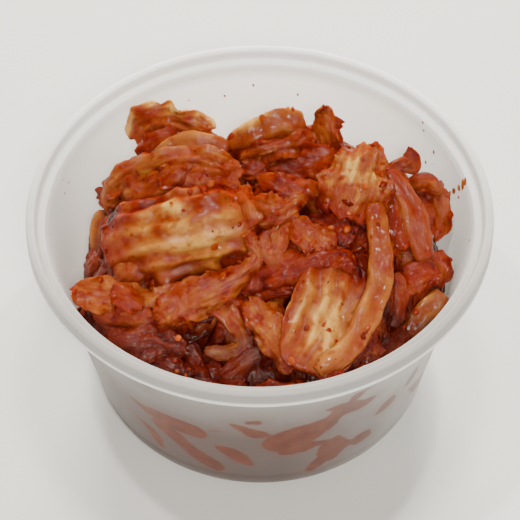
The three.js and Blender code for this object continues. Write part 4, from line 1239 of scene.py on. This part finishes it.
def wall_drop(degrees, height, radius, draw):
    """One drop of sauce on the inner wall."""
    turn = math.radians(degrees)
    reach = wall_radius(height) - WALL - 0.05
    centre = np.array([reach * math.cos(turn), reach * math.sin(turn), height])
    outward = unit(np.array([-math.cos(turn), -math.sin(turn), WALL_SLOPE]))
    points, faces = lump(centre, outward, radius, draw)
    depth_in = (points - centre) @ outward
    return points - outward * (0.45 * depth_in)[:, None], faces


draw = make_draw(2024)
drops = [wall_drop(*spot, draw) for spot in SPLATTER]
for _ in range(LOOSE_DROPS):
    drops.append(wall_drop(360 * draw(), 50 + 8 * draw(), 0.12 + 0.25 * draw() ** 2, draw))
splatter = build_mesh("sauce_splatter", *gather(drops))
dried_sauce = spice_finish("dried_sauce", (0.300, 0.050, 0.004), (0.480, 0.120, 0.012), 0.4)
splatter.data.materials.append(dried_sauce)

# %% [markdown]
# A really see-through wall in front of a heap this dense is slow to render and full of noise. So
# the plastic is a milky one that only scatters light, and the light that would pass through it is
# painted into its colour. Painted shade makes it grey where the tub is full and on the rim, fading
# towards the back. Brown patches show where cabbage touches it, painted as if seen through the wall,
# with a faint painted glow round each patch.

# %% Make the frosted finish
frosted, tree, shader, place = new_finish("frosted_plastic")
touch, wall_shade = mesh_value(tree, "touch"), mesh_value(tree, "wall_shade")
# Painted see-through: brown patches where cabbage touches the wall, with a faint painted glow round them,
# both only where the wall's painted shade lies.
near_patch = math_of(tree, "MULTIPLY", rise_of(tree, touch, 6.0, 0.0, 0.35), wall_shade)
on_patch = math_of(tree, "MULTIPLY", rise_of(tree, touch, 0.35, -0.35, 0.9), wall_shade)
patch_tone = ramp_of(tree, noise_of(tree, place, 220, 2), [(0.3, (0.120, 0.022, 0.008)),
                                                          (0.7, (0.175, 0.044, 0.017))])
# Painted shade: the milky white goes dark grey where the wall's painted shade lies.
body = blend_of(tree, wall_shade, (0.93, 0.93, 0.92, 1), (0.132, 0.104, 0.099, 1))
body = blend_of(tree, near_patch, body, (0.155, 0.085, 0.066, 1))
body = blend_of(tree, on_patch, body, patch_tone)
set_shader(shader, Base_Color=body,
           Roughness=math_of(tree, "MULTIPLY_ADD", noise_of(tree, place, 60, 2), 0.16, 0.30),
           Normal=bump_of(tree, noise_of(tree, place, 900, 2), 0.08, 0.0002), IOR=1.49,
           Specular_IOR_Level=0.25, Subsurface_Weight=0.9, Subsurface_Radius=(1.0, 0.95, 0.9),
           Subsurface_Scale=0.002)
tub.data.materials.append(frosted)
print("frosted finish ready")

# %% [markdown]
# ## Table and light
# The tub stands on a plain pale table with five lights in a dim room. Two soft ones hang above
# and in front, and two small ones make the sharp glints of wet cabbage. A wide one stands low
# behind the tub. It lights the wall and the ridges, and is kept out of reflections, which it
# would veil in white.

# %% Lay the table
bpy.ops.mesh.primitive_plane_add(size=4.0, location=(0, 0, -0.0001))
table = bpy.context.object
table.name = "table"
pale, tree, shader, place = new_finish("pale_table")
tint = ramp_of(tree, noise_of(tree, place, 3, 2), [(0.3, (0.86, 0.86, 0.855)), (0.7, (0.90, 0.90, 0.895))])
set_shader(shader, Base_Color=tint, Roughness=0.6)
table.data.materials.append(pale)

# %% [markdown]
# Each light is a small square or a larger one: the larger it is, the softer the edge of its
# shadow and the broader its reflection in the wet film.

# %% Hang the lights
def area_light(name, power, size, at):
    """A square soft light that points at the tub."""
    data = bpy.data.lights.new(name, "AREA")
    data.energy = power
    data.color = (1.0, 0.95, 0.85)
    data.size = size
    lamp = bpy.data.objects.new(name, data)
    lamp.location = at
    lamp.rotation_euler = (Vector((0, 0, 0.05)) - Vector(at)).to_track_quat("-Z", "Y").to_euler()
    bpy.context.scene.collection.objects.link(lamp)
    return lamp


area_light("overhead", 3.2, 0.12, (0.03, 0.06, 0.90))
area_light("front", 7.4, 0.14, (0.05, -0.60, 0.72))
area_light("sparkle_left", 2.4, 0.035, (-0.22, 0.02, 0.80))
area_light("sparkle_right", 2.4, 0.035, (0.20, 0.16, 0.78))
area_light("behind", 21.0, 0.4, (0.0, 0.75, 0.20)).visible_glossy = False
world = bpy.data.worlds.new("room")
world.use_nodes = True
set_sockets(world.node_tree.nodes["Background"], {"Color": (0.98, 0.95, 0.92, 1), "Strength": 0.12})
bpy.context.scene.world = world
print("five lights and a pale room")

# %% [markdown]
# ## Joining the frame
# Everything rides on the one body. The heap's objects stand for the fixed heap, and the smooth
# tub for the fixed tub.

# %% Hand the pieces over
for piece in heap.values():
    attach(piece, "root")
    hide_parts("kimchi")
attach(tub, "root")
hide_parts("tub")
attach(splatter, "root")
